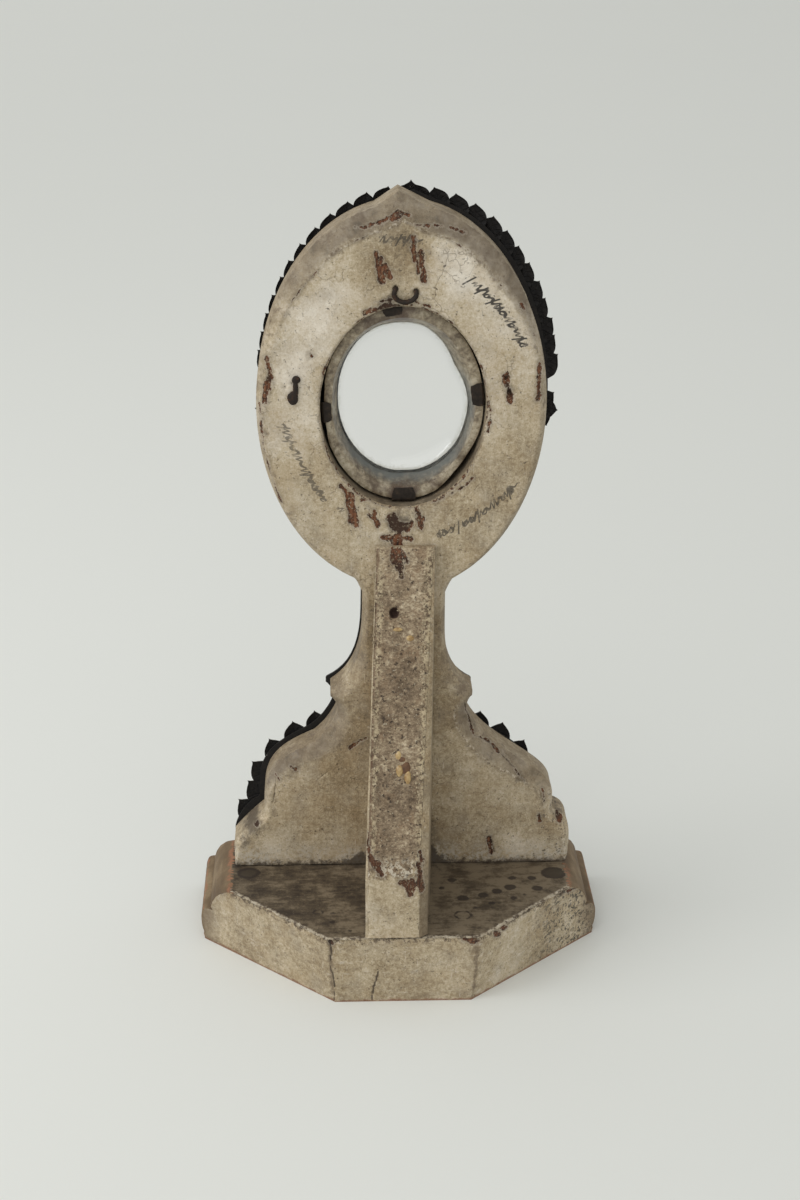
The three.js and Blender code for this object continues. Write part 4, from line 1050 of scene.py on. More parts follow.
def buildPlinth():
    z, out = mouldingCurve()
    rings = [plinthRing(height, reach) for height, reach in zip(z, out)]
    count, bottom, top = len(rings[0]), rings[0], rings[-1]
    wall = np.vstack([np.c_[ring, np.full(count, height)] for ring, height in zip(rings, z)])
    isBack = (wall[:, 1] > -2.7 - 0.02 * np.abs(wall[:, 0])) & (np.abs(wall[:, 0]) < 75.1)
    halfWidth = plinthMake["topHalfWidth"] + np.repeat(out, count)
    onSide = np.abs(np.abs(wall[:, 0]) - halfWidth) < 0.05
    bulging = np.repeat(np.interp(z, *np.array(plinthMake["bulges"]).T), count)
    wallValues = {"backness": (isBack & ~onSide).astype(float), "arris": np.minimum(plinthTop - wall[:, 2], 20),
                  "height": wall[:, 2], "spot": -3.0, "convex": bulging}
    lattice, coarse = hexPoints((-63, -30), (63, 43), plinthMake["topSpacing"])
    nearBack = (backEdgeDistance(lattice) < 3.2) & (lattice[:, 1] > -9)
    toAny = nearPath(lattice, closedPath(top)[::3])[0]
    flat, topFaces = fillFlat([top], lattice[(coarse | nearBack) & insideLoop(lattice, top) & (toAny > 0.35)])
    spot = np.full(len(flat), -3.0)
    for x, y, radius, kind in topSpots:
        away = np.hypot((flat[:, 0] - x), (flat[:, 1] - y) * 1.15) - radius
        mark = -np.abs(away) + 0.45 if kind < 0 else -away
        spot = np.maximum(spot, np.clip(mark, -3, 3))
    spot = spot + 0.2 * bumps(flat, 0.8, 5)
    edge = backEdgeDistance(flat)
    jag = 0.8 + 1.0 * bumps(flat, 3, 71, 3) + 0.9 * bumps(flat, 11, 72)
    sink = 0.9 * np.clip(1 - edge / np.clip(jag, 0.25, 3), 0, 1) ** 1.3
    sink += 0.10 * bumps(flat, 8, 73, 2) + 0.05
    sink = np.clip(sink - 0.12 * smoothStep(-0.3, 0.2, spot), 0, 2)
    onLoop = np.arange(len(flat)) < len(top)
    topPoints = np.c_[flat, plinthTop - np.where(onLoop, 0, sink)]
    topValues = {"topness": 1.0, "arris": np.minimum(edge, 20), "height": plinthTop, "spot": spot}
    lattice = hexPoints((-76, -43), (76, 43), 4.0)[0]
    roomy = nearPath(lattice, closedPath(bottom)[::3])[0] > 2
    flat, faces = fillFlat([bottom], lattice[insideLoop(lattice, bottom) & roomy])
    foot = (np.c_[flat, np.zeros(len(flat))], faces, {"backness": 1.0, "arris": 20.0, "spot": -3.0})
    return joinParts([(wall, stripFaces(len(z), count), wallValues), (topPoints, topFaces, topValues), foot])


plinthBare = [                          # bare wood on the back faces' top edge: x, z, x, z, radius
    (-21.5, 25.2, -25.4, 25.4, 0.75), (-24.4, 24.4, -26.4, 24.6, 0.8), (-33.2, 24.4, -35.0, 22.6, 0.7),
    (-36.0, 25.4, -37.4, 24.0, 0.7), (26.2, 25.2, 25.6, 24.4, 0.6), (66.5, 23.8, 71.5, 23.0, 0.5),
    (-63, 24.6, -70, 23.4, 0.45),
]
plinthCracks = [
    [(26.4, 26.2), (25.9, 20), (26.3, 14.5), (24.9, 9), (25.1, 0)],
    [(9.7, 9.5), (10.9, 5.4), (11.4, 0)],
    [(9.0, 12.5), (9.7, 9.5)],
]
plinthEdges = [(75.1, -2.6), (26.2, 42.0), (-26.2, 42.0), (-75.1, -2.6)]       # upright arrises at the back: x, y


def wearPlinth(piece):                  # hand-cut faces, and small chips along the arrises
    mesh = piece.data
    place, facing = meshPoints(mesh)
    topness, backness, arris = (meshValue(mesh, label) for label in ("topness", "backness", "arris"))
    rough = plinthMake["roughness"] * (0.3 + 0.7 * backness) * bumps(place, 7, 81, 3)
    rough = rough + 0.05 * bumps(place, 1.6, 82, 2)
    nearTop = np.clip(1 - arris / 1.8, 0, 1) * backness
    bite = nearTop * (0.45 + 1.0 * lumps(place, 3.2, 83, 3) + 0.7 * lumps(place, 9, 84))
    corner = np.full(len(place), 9.0)
    for x, y in plinthEdges:
        corner = np.minimum(corner, np.hypot(place[:, 0] - x, place[:, 1] - y))
    bite += backness * np.clip(1 - corner / 2.6, 0, 1) * (0.25 + 0.7 * lumps(place, 4, 85, 2))
    bite += (1 - topness) * np.clip(1 - place[:, 2] / 1.4, 0, 1) * 0.35 * lumps(place, 3, 86, 2, 0.3)
    flat = place[:, [0, 2]]
    bare = -toStrokes(flat, plinthBare) + 0.6 * bumps(flat, 1.4, 88, 3)
    bare = np.where((backness > 0.5) & (place[:, 2] > 1), np.clip(bare, -3, 3), -3)
    bite += 0.4 * smoothStep(-0.2, 0.2, bare)
    crack = np.where(backness > 0.5, toLines(flat, plinthCracks) + 0.2 * bumps(flat, 1.3, 89), 9)
    bite += 0.3 * smoothStep(0.7, 0.1, crack)
    amount = -bite - (1 - topness) * (0.13 + rough)
    amount = np.where(topness > 0.5, -0.05 * (1 + bumps(place, 2.2, 87, 2)), amount)
    onFloor = place[:, 2] < 1e-3
    moved = place + facing * np.where(onFloor, 0, amount)[:, None]
    moved[:, 2] = np.clip(np.where(onFloor, 0, moved[:, 2]), 0, plinthTop)
    putPoints(mesh, moved)
    putValues(mesh, {"bare": bare, "crack": smoothStep(0.55, 0.1, crack),
                     "corner": np.where(backness > 0.5, corner, 9)})


def makePlinthPaint():
    paint = Finish("plinthPaint")
    topness, backness, arris = paint.value("topness"), paint.value("backness"), paint.value("arris")
    height, across = paint.value("height"), paint.axis(0)
    onTop = topness.step(0.3, 0.7)
    # painted light: the chamfers are painted lighter than the middle back face, the right one (-x) more, to lift
    # their shade
    tone = 0.38 + across.step(20, 40) * 0.05 + across.step(-24, -36) * 0.11
    color, small, cracked = gessoColors(paint, tone, (0.22 - height * 0.06).most(0.0))
    mould = paint.noise(1.3, 4, 0.68, seed=15).step(0.52, 0.57) * across.step(-40, -62)
    swept = paint.noise(2.6, 5, 0.72, place=paint.mapped((0.35, 0.35, 1)), seed=18)
    ends = (across.size() + paint.drift(9, 5, 4, 0.7, seed=22)).step(66, 74)
    corner = (paint.value("corner") + paint.drift(5, 2.4, 4, 0.7, seed=19)).step(1.5, 0.2)
    # thin brown gilding on the mouldings, rubbed through to orange bole on their arrises
    brushed = paint.noise(3, 4, 0.65, place=paint.mapped((0.12, 0.12, 1)))
    gilt = paint.ramp(paint.noise(14, 3, seed=9) * 0.5 + brushed * 0.3 + small * 0.2,
                      (0.38, (0.10, 0.062, 0.030)), (0.5, (0.175, 0.116, 0.060)), (0.62, (0.29, 0.21, 0.12)))
    convex = paint.value("convex") + paint.drift(1.5, 4, 5, 0.7, seed=10)
    hollow = paint.drift(1.2, 3, 4, 0.65, seed=11) - paint.value("convex")
    gilt = paint.coats(gilt, (convex.step(0.35, 0.65) * 0.8, (0.33, 0.145, 0.075)),
                       (convex.step(0.70, 0.95) * 0.8, (0.50, 0.41, 0.29)),
                       (hollow.step(0.3, 0.8) * 0.6, (0.07, 0.048, 0.03)))
    # the top is dark with old dirt, streaked along the grain; its right half (-x) is painted lighter, painted
    # light over the strut's cast shadow
    sootAndPaintedLight = (0.5 + across.step(0, -12) * 0.13 + paint.drift(1.1, 9, 4, 0.6, seed=3)
            + paint.drift(0.9, 2.6, 5, 0.7, place=paint.mapped((0.22, 1, 1))) + (small - 0.5) * 0.7)
    dirt = paint.ramp(sootAndPaintedLight, (0.30, (0.040, 0.027, 0.016)), (0.50, (0.092, 0.067, 0.040)),
                      (0.70, (0.20, 0.155, 0.10)))
    dusty = paint.noise(0.8, 3, 0.75, seed=4).step(0.56, 0.7)
    spot = paint.value("spot") + paint.drift(1.8, 2.2, 4, 0.65)
    darkened = paint.noise(6, 5, 0.74, seed=27, twist=0.8).step(0.56, 0.68)
    dirt = paint.coats(dirt, (dusty * 0.35, (0.25, 0.205, 0.15)), (darkened * 0.55, (0.036, 0.023, 0.014)),
                       (spot.step(-0.35, 0.3) * 0.85, (0.024, 0.015, 0.010)),
                       (spot.step(1.0, 2.0) * 0.3, (0.085, 0.066, 0.038)))
    # rough pale gesso laps over the top's broken edge, and bare wood shows in it
    lapped = (arris + paint.drift(4.2, 2.4, 5, 0.72, seed=5)).step(2.0, 1.2) * onTop
    pale = paint.ramp(paint.noise(1.5, 4, 0.7, seed=6), (0.35, (0.30, 0.24, 0.165)), (0.5, (0.50, 0.43, 0.32)),
                      (0.65, (0.66, 0.59, 0.47)))
    crumbly = paint.noise(1.8, 4, 0.74, seed=7).step(0.49, 0.56) * arris.step(3.4, 0.4) * topness.most(backness)
    color = paint.coats(
        color, (mould * 0.85, (0.05, 0.046, 0.038)), (swept.step(0.53, 0.68) * 0.4, (0.19, 0.138, 0.085)),
        (swept.step(0.44, 0.32) * 0.3, gesso["white"]), (ends * 0.7, (0.15, 0.105, 0.066)),
        (corner * 0.65, (0.13, 0.088, 0.055)), (1 - backness.step(0.3, 0.7), gilt), (onTop, dirt),
        (lapped * 0.92, pale), (crumbly * 0.9, (0.075, 0.048, 0.03)),
    )
    color = layBare(paint, color)[0]
    foot = (height + paint.drift(3, 4, 4, 0.65, seed=8)).step(1.0, 0.2) * (1 - topness)
    color = paint.coats(color, (paint.value("crack").step(0.3, 0.8) * 0.85, (0.045, 0.03, 0.02)),
                        (foot * 0.75, (0.20, 0.085, 0.045)))
    bump = small * 0.6 + paint.noise(0.45, 3, 0.7) * 0.4 + spot.step(-0.1, 0.2) * 0.5
    bump = bump + lapped * 0.8 - cracked * 0.4
    return paint.finishWith(color, 0.6 + small * 0.3, bump, 0.14)


plinthPiece = makeMesh("plinth", *buildPlinth(), finishes=[makePlinthPaint()], crisp=45)
wearPlinth(plinthPiece)
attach(plinthPiece, "root")
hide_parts("plinth")
print("plinth:", len(plinthPiece.data.polygons), "triangles")


# strut: a wedge from the neck to the plinth's back edge

strutMake = dict(
    foot=standing, top=156.6, root=-9.4, spacing=0.45,
    spineZ=[26.7, 50.5, 60.5, 154.6, 156.6], spineDepth=[51.7, 51.7, 48.5, 3.6, 1.8],
    rootLeftFoot=11.5, rootLeftTop=8.5, rootRight=-12.5, backLeftFoot=13.7, backRightFoot=-6.4, arrisWear=2.0,
    nailHole=(2.5, 135.9, 1.65), counts=(8, 44, 4, 46, 6, 44), hindmost=41.95,
)
slopeZ, slopeDepth = strutMake["spineZ"][2:4], strutMake["spineDepth"][2:4]       # the sloping back's ends
slopeAngle = math.atan2(slopeDepth[0] - slopeDepth[1], slopeZ[1] - slopeZ[0])
strutCrack = [(-6.1, 46), (-5.7, 41), (-6.0, 36), (-5.6, 30)]
strutBare = [                           # wood laid bare: x, z, x, z, radius
    (12.6, 60.8, 11.4, 57.6, 0.8), (11.6, 57.8, 9.8, 55.2, 1.0), (9.6, 55.2, 8.0, 52.4, 0.8),
    (10.8, 56.8, 8.2, 56.2, 0.5), (1.3, 49.2, -1.2, 48.8, 0.9), (-0.6, 48.8, -2.6, 46.8, 1.7),
    (-1.6, 47, -2.2, 44.4, 1.0), (-3.4, 48.2, -5.2, 48.6, 0.9), (-2.8, 50.2, -2.9, 48.8, 0.8),
    (-5.2, 55.8, -6.0, 51.0, 0.9), (-5.6, 50.8, -6.4, 45.6, 1.0), (-5.9, 59.8, -6.5, 55.8, 0.6),
    (1.5, 157.4, 1.3, 153, 2.0), (1.1, 153, 0.4, 150.4, 1.4), (-0.8, 154.6, -2.2, 152.4, 0.6),
    (0.2, 150, -0.3, 147.2, 0.7), (12.9, 66, 13.1, 62, 0.3), (2.2, 151.6, 1.9, 150.9, 0.4),
]
glueDrops = [                           # x, z, half width, half height, how proud, and 1 for the darker glue
    (1.5, 90.4, 1.1, 1.6, 0.6, 0), (1.2, 85.6, 1.25, 2.0, 0.8, 0), (-1.7, 83.4, 1.2, 2.2, 0.8, 0),
    (-0.4, 86.6, 2.3, 2.5, 0.3, 1), (0.2, 89.3, 1.6, 1.3, 0.35, 1), (-3.1, 127.6, 1.4, 1.0, 0.7, 0),
    (1.2, 130.4, 1.7, 0.7, 0.6, 0),
]


def strutSection(z):                    # the wedge's outline at a height, and where its back face is on it
    make = strutMake
    depth = np.interp(z, make["spineZ"], make["spineDepth"])
    share, reach = (z - plinthTop) / (make["top"] - plinthTop), depth / 51.7
    rootLeft = blend(make["rootLeftFoot"], make["rootLeftTop"], share)
    backLeft = blend(make["rootLeftTop"], make["backLeftFoot"], reach)
    backRight = blend(make["rootRight"], make["backRightFoot"], reach)
    back, wear = boardBack + depth, make["arrisWear"] * reach + 0.3
    corners = np.array([(make["rootRight"], make["root"]), (rootLeft, make["root"]),
                        (backLeft, back - wear * 0.4), (backLeft - wear * 0.4, back),
                        (backRight + 0.25 * wear, back), (backRight - wear, back - wear)])
    run = [blend(a, b, np.linspace(0, 1, count, endpoint=False)[:, None])
           for a, b, count in zip(corners, np.roll(corners, -1, 0), make["counts"])]
    return np.vstack(run)


def buildStrut():
    make = strutMake
    levels = np.linspace(make["foot"], make["top"], int((make["top"] - make["foot"]) / make["spacing"]))
    rings = [strutSection(z) for z in levels]
    count = len(rings[0])
    wall = np.vstack([np.c_[ring, np.full(count, z)] for ring, z in zip(rings, levels)])
    position = np.tile(np.arange(count), len(levels))
    first, last = sum(make["counts"][:3]), sum(make["counts"][:4])     # the back face's own points in each ring
    toArris = np.minimum(np.abs(position - first), np.abs(position - last)) * make["spacing"]
    nearBack = (position > first - 6) & (position < last + 12)
    flat = wall[:, [0, 2]]
    bare = -toStrokes(flat, strutBare) + 0.5 * bumps(flat, 1.5, 91, 3)
    x, z, radius = make["nailHole"]
    hole = np.hypot(wall[:, 0] - x, (wall[:, 2] - z) * 0.95) - radius
    values = {"onBack": ((position >= first) & (position < last)).astype(float), "arris": np.minimum(toArris, 12),
              "height": wall[:, 2], "bare": np.where(nearBack, np.clip(bare, -3, 3), -3),
              "hole": np.where(nearBack, np.clip(-hole, -3, 3), -3)}
    parts = [(wall, stripFaces(len(levels), count), values)]
    for ring, level in ((rings[0], make["foot"]), (rings[-1], make["top"])):
        flat, faces = fillFlat([ring], np.zeros((0, 2)))
        parts.append((np.c_[flat, np.full(len(flat), level)], faces,
                      {"arris": 12.0, "height": level, "bare": -3.0, "hole": -3.0}))
    return joinParts(parts)


def wearStrut(piece):
    mesh = piece.data
    place, facing = meshPoints(mesh)
    onBack, arris, bare, hole, height = (meshValue(mesh, n)
                                         for n in ("onBack", "arris", "bare", "hole", "height"))
    dusty = onBack * smoothStep(48.5, 52, height + 1.6 * bumps(place[:, [0, 2]], 5, 95, 2))
    amount = -0.16 + 0.12 * bumps(place, 9, 92, 2)
    pitted = bumps(place, 1.5, 93, 3)
    fibred = bumps(place * (0.6, 1, 1.6), 1.7, 97, 2)
    amount += dusty * (0.17 * pitted + 0.16 * fibred - 0.6 * lumps(place, 2.4, 96, 2, -0.2))
    amount += (1 - dusty) * 0.03 * pitted
    worn = np.clip(1 - arris / 1.8, 0, 1) ** 2
    amount -= worn * (0.25 + 0.65 * lumps(place, 4.2, 94, 3)) * (height < 154)
    amount -= 0.5 * smoothStep(-0.2, 0.3, bare)
    amount -= 0.9 * smoothStep(-0.35, 0.35, hole) + 1.6 * smoothStep(0, 0.9, hole)
    crack = smoothStep(0.7, 0.1, toLines(place[:, [0, 2]], [strutCrack]))
    amount -= 0.35 * crack * onBack
    atEnds = (place[:, 2] < 26.71) | (place[:, 2] > 156.58)
    moved = place + facing * np.where(atEnds, 0, amount)[:, None]
    moved[:, 2] = np.clip(moved[:, 2], strutMake["foot"], strutMake["top"])
    moved[:, 1] = np.clip(moved[:, 1], strutMake["root"], strutMake["hindmost"])
    putPoints(mesh, moved)
    mesh.set_sharp_from_angle(angle=math.radians(50))
    putValues(mesh, {"crack": crack * onBack})


def makeDustyPaint():
    paint = Finish("dustyPaint")
    onBack, arris, height = paint.value("onBack"), paint.value("arris"), paint.value("height")
    across, side = paint.axis(0), 1 - onBack
    above = (height + paint.drift(9, 4, 5, 0.7)).step(50, 52)
    slope = onBack * above
    # painted light: the left side face (+x) is painted lighter than the right one
    tone = 0.26 + (1 - above) * onBack * 0.19 + side * across.step(0, 8) * 0.14
    color, small, _ = gessoColors(paint, tone, 0.15 * side)
    # layers of dust and brown dirt lie on the sloping face
    grit = paint.noise(1.05, 4, 0.74, place=paint.mapped((0.8, 1, 1.3)), twist=0.3)
    dust = (0.5 + (grit - 0.5) * 0.95 + paint.drift(0.8, 3.4, 5, 0.74, seed=2, twist=0.3)
            + paint.drift(0.6, 14, 3, 0.6, seed=3) + height.step(120, 150) * 0.1)
    dirt = paint.ramp(dust, (0.28, (0.060, 0.038, 0.023)), (0.42, (0.150, 0.104, 0.064)),
                      (0.52, (0.225, 0.162, 0.102)), (0.62, (0.33, 0.25, 0.162)), (0.76, (0.60, 0.50, 0.35)))
    rusty = paint.noise(7, 4, 0.65, seed=10).step(0.47, 0.66)
    dirt = paint.mix(rusty * 0.35, dirt, (0.30, 0.185, 0.10))
    inner = arris + paint.drift(5.0, 3, 5, 0.72, seed=4)
    # broken paint down both arrises, yellowish and pitted, with a brown line on the left
    flaky = paint.noise(1.5, 4, 0.72, seed=5)
    strip = inner.step(4.0, 1.8) * slope * paint.noise(9, 3, 0.6, seed=8).step(0.32, 0.52)
    seam = (arris + paint.drift(1.6, 4, 3, seed=9)).step(1.6, 0.5) * across.step(2, 5)
    fibres = paint.noise(0.8, 3, 0.7, place=paint.warped(2.5, 3.5), seed=6).step(0.62, 0.67) * slope
    flakes = paint.noise(1.6, 4, 0.72, seed=25).step(0.50, 0.55) * height.step(60, 53) * slope
    pits = paint.noise(1.3, 3, 0.6, seed=7).step(0.60, 0.67) * slope
    shade = paint.noise(8, 4, 0.6).step(0.45, 0.7) * side
    # the right side face (-x) is darker towards its foot
    darkened = (height + paint.drift(26, 5, 4, 0.65, seed=26)).step(62, 40) * side * across.step(2, -4)
    color = paint.coats(
        color, (slope * inner.step(0.6, 2.2) * 0.92, dirt),
        (strip * flaky.step(0.47, 0.54) * 0.85, (0.56, 0.46, 0.30)),
        (strip * flaky.step(0.47, 0.40) * 0.85, (0.12, 0.08, 0.05)), (seam * slope * 0.7, (0.12, 0.062, 0.036)),
        (fibres * 0.8, (0.70, 0.62, 0.47)), (flakes * 0.8, (0.66, 0.59, 0.47)),
        (pits * 0.8, (0.04, 0.026, 0.018)), (shade * 0.35, (0.19, 0.155, 0.105)),
        (darkened * 0.6, (0.13, 0.095, 0.06)),
    )
    atTop = (height + paint.drift(8, 2.4, 4, 0.7, seed=14)).step(154, 150.5) * height.step(140, 146)
    color = layBare(paint, color, atTop.most(height.step(64, 60) * 0.5))[0]
    hole = (paint.value("hole") + paint.drift(0.9, 1.2, 3)).step(-0.35, 0.1)
    color = paint.coats(color, (hole, (0.045, 0.02, 0.012)),
                        (paint.value("crack").step(0.3, 0.9) * 0.8, (0.04, 0.03, 0.02)))
    bump = small * 0.4 + grit * slope * 1.4 + fibres * 0.5 - pits * 0.8
    return paint.finishWith(color, 0.72 + small * 0.25, bump, 0.3)


def makeGlue(name, dark, light, rough):
    glue = Finish(name)
    color = glue.ramp(glue.noise(1.6, 3), (0.3, dark), (0.7, light))
    return glue.finishWith(color, glue.noise(1.2, 2) * 0.2 + rough, glue.noise(0.7, 2), 0.05)


def ovalLump(place, halves, seed, turn=0.0, rows=12, columns=18, wobble=0.14):
    # a closed rounded lump, uneven and tilted about the X axis by turn
    latitude = np.linspace(-math.pi / 2, math.pi / 2, rows + 1)[1:-1]
    longitude = np.arange(columns) * 2 * math.pi / columns
    points = [(math.cos(a) * math.cos(b), math.cos(a) * math.sin(b), math.sin(a))
              for a in latitude for b in longitude]
    points = np.array(points + [(0, 0, -1), (0, 0, 1)])
    points = points * (1 + wobble * bumps(points * 2.1 + seed * 3.7, 1.3, seed, 2))[:, None] * halves
    c, s = math.cos(turn), math.sin(turn)
    points = np.c_[points[:, 0], c * points[:, 1] - s * points[:, 2], s * points[:, 1] + c * points[:, 2]]
    return points + place, closedStrip(rows - 1, columns), {}


def crumbTree():                        # crumbs of old paint and dirt, scattered about a line in the XY plane
    tree = RowTree("crumbRow", {"Crumb": "Object", "Count": 80, "Across": 1.0, "Size": 0.5, "Seed": 1,
                                "Finish": "Material"})
    aside = tree.chance(-1.0, 1.0, 1) * tree.chance(0.2, 1.0, 2) * tree["Across"]
    points = tree.moved(tree.spread("COUNT", tree["Count"]), tree.vector(aside, tree.chance(-1.2, 1.2, 3)))
    turn = tree.vector(tree.chance(-0.5, 0.5, 4), 0.0, tree.chance(0.0, 6.28, 5))
    size = tree.chance(0.45, 1.0, 6) * tree.chance(0.6, 1.0, 7) * tree["Size"]
    scale = tree.vector(size, size * tree.chance(0.7, 1.9, 8), size * 0.7)
    return tree.finish(tree.copies(points, "Crumb", turn, scale))


def makeCrumbs():
    crumbs = Finish("paintCrumbs")
    tint = crumbs.noise(3, 4, 0.7) * 0.6 + crumbs.noise(0.8, 2) * 0.4
    color = crumbs.ramp(tint, (0.36, (0.10, 0.068, 0.042)), (0.48, (0.25, 0.19, 0.12)),
                        (0.60, (0.50, 0.41, 0.28)), (0.7, (0.66, 0.58, 0.44)))
    return crumbs.finishWith(color, crumbs.noise(1, 2) * 0.2 + 0.7, crumbs.noise(0.4, 2), 0.06)


def strutBackAt(z):
    return boardBack + np.interp(z, strutMake["spineZ"], strutMake["spineDepth"]) - 0.35


crumbRows = [                           # x at the foot and at the top, z from and to, count, how wide, size
    (11.2, 8.0, 62, 150, 130, 1.2, 0.75), (-4.2, -9.4, 62, 152, 170, 1.6, 0.85),
    (3.0, -1.0, 58, 152, 180, 6.5, 0.5),
]

strutPiece = makeMesh("strut", *buildStrut(), finishes=[makeDustyPaint()], crisp=50)
wearStrut(strutPiece)
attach(strutPiece, "root")
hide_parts("strut")

glueParts, glueFaces = [], []
for seed, (x, z, halfX, halfZ, proud, dark) in enumerate(glueDrops):
    glueParts.append(ovalLump((x, strutBackAt(z), z), (halfX, proud, halfZ), seed, slopeAngle))
    glueFaces += [dark] * len(glueParts[-1][1])
glueFinishes = [makeGlue("amberGlue", (0.26, 0.14, 0.045), (0.62, 0.46, 0.22), 0.15),
                makeGlue("brownGlue", (0.06, 0.024, 0.010), (0.17, 0.08, 0.03), 0.3)]
gluePiece = makeMesh("glueDrops", *joinParts(glueParts), glueFinishes, glueFaces)
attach(gluePiece, "root")

crumbPoints, crumbFaces, _ = ovalLump((0, 0, 0), (1, 1, 1), 5, rows=4, columns=6, wobble=0.35)
crumbPiece = makeMesh("crumbPattern", crumbPoints / metres, crumbFaces, crisp=40)
crumbGroup, crumbFinish = crumbTree(), makeCrumbs()
crumbParts = []
for number, (xFoot, xTop, zFrom, zTo, count, wide, size) in enumerate(crumbRows):
    ups = np.array([zFrom, zTo], float)
    line = np.c_[np.interp(ups, slopeZ, (xFoot, xTop)), (ups - slopeZ[0]) / math.cos(slopeAngle)]
    crumbParts.append(alongPath(crumbGroup, line, 0.0, {
        "Crumb": crumbPiece, "Count": count, "Across": wide, "Size": size, "Seed": 40 + number,
        "Finish": crumbFinish}))
points, triangles, _ = joinParts(crumbParts)
up, out = points[:, 1], points[:, 2] - 0.3
onSlope = np.c_[points[:, 0],
                boardBack + slopeDepth[0] - up * math.sin(slopeAngle) + out * math.cos(slopeAngle),
                slopeZ[0] + up * math.cos(slopeAngle) + out * math.sin(slopeAngle)]
crumbWork = makeMesh("strutCrumbs", onSlope, triangles, finishes=[crumbFinish], crisp=40)
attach(crumbWork, "root")
bpy.data.objects.remove(crumbPiece)
print("strut:", len(strutPiece.data.polygons), "triangles")


# window: a domed glass, clouded on its flank, held by bent tin tabs

windowMake = dict(
    x=-1.2, z=206.8, halfWidth=27.2, halfHeight=34.2, back=boardBack, around=144, crownEdge=0.822, wider=0.07,
    crownShape=[(0, 0), (45, 0.03), (75, 0), (105, 0), (130, -0.05), (152, -0.11), (170, -0.05), (190, 0),
                (225, 0.03), (260, 0), (360, 0)],
    rimShape=[(0, 0), (9, 0), (16, 0.022), (60, 0.014), (76, 0), (196, 0), (212, -0.035), (228, -0.04), (246, 0),
              (280, 0), (300, 0.014), (338, 0.022), (345, 0), (360, 0)],
    # rings, as the share of the oval and the depth from the board's back
    outside=[(0.0, 20.4), (0.2, 20.2), (0.42, 19.6), (0.58, 18.95), (0.7, 18.2), (0.77, 17.2), (0.82, 15.6),
             (0.86, 13.0), (0.90, 9.6), (0.94, 7.4), (0.98, 7.2), (1.018, 7.0)],
    inside=[(1.018, 5.8), (1.0, 5.6), (0.93, 5.6), (0.9, 5.9), (0.875, 7.6), (0.845, 10.0), (0.81, 12.6),
            (0.77, 14.6), (0.72, 15.9), (0.66, 16.8), (0.55, 17.5), (0.4, 18.1), (0.2, 18.6), (0.0, 18.8)],
)
glassStains = [                         # x, z, radius, strength
    (-1, 173, 6, 1.0), (-13, 178, 4, 0.5), (9, 177, 4, 0.5), (-1, 240, 9, 0.7), (-22, 185, 4, 0.5),
    (12, 236, 5, 0.5), (25, 210, 3, 0.4), (-26, 212, 3, 0.4), (20, 190, 5, 0.3),
]


def buildGlass():
    make = windowMake
    angle = np.arange(make["around"]) * 2 * math.pi / make["around"]
    circle = np.c_[np.cos(angle), np.sin(angle)]
    crown = np.interp(np.degrees(angle), *np.array(make["crownShape"]).T)
    crown += make["wider"] * circle[:, 0] ** 2 + 0.015 * bumps(circle * 1.4 + 5, 0.5, 7, 2)
    flat = np.interp(np.degrees(angle), *np.array(make["rimShape"]).T)
    rows = []
    for share, depth in make["outside"] + make["inside"]:
        uneven = 1 + crown * smoothStep(0.94, 0.82, share) * smoothStep(0, 0.3, share)
        uneven = uneven + flat * smoothStep(0.86, 0.94, share)
        x = make["x"] + make["halfWidth"] * share * uneven * circle[:, 0]
        z = make["z"] + make["halfHeight"] * share * uneven * circle[:, 1]
        rows.append(np.c_[x, make["back"] - (depth + 0.12 * bumps(np.c_[x, z], 9, 8)), z])
    wall = np.vstack(rows)
    shares = np.repeat([share for share, _ in make["outside"] + make["inside"]], make["around"])
    values = {"share": shares, "stain": np.clip(softSpots(wall[:, [0, 2]], glassStains), 0, 1)}
    return wall, stripFaces(len(rows), make["around"]), values


def glassPiece():
    wall, faces, values = buildGlass()
    clear = (values["share"][faces].max(1) < windowMake["crownEdge"]).astype(int)
    return makeMesh("windowGlass", wall, faces, values, [makeClouded(), makeClear()], clear, crisp=40)


def makeClear():
    clear = Finish("clearOldGlass")
    rough = 0.02 + clear.noise(2.5, 3).step(0.66, 0.8) * 0.1
    # a few specks, and dirt that thickens towards the crown's edge
    specks = clear.cells(9).step(0.045, 0.025) * clear.noise(14, 2, seed=2).step(0.5, 0.56)
    edge = (clear.value("share") + clear.drift(0.16, 3, 5, 0.72, seed=3)).step(0.77, 0.83)
    color = clear.coats((1.0, 1.0, 1.0), (edge * 0.8, (0.52, 0.50, 0.42)), (specks, (0.10, 0.08, 0.06)))
    return clear.finishWith(color, rough, clear.noise(16, 2), 0.04, {"Transmission Weight": 1.0, "IOR": 1.45})


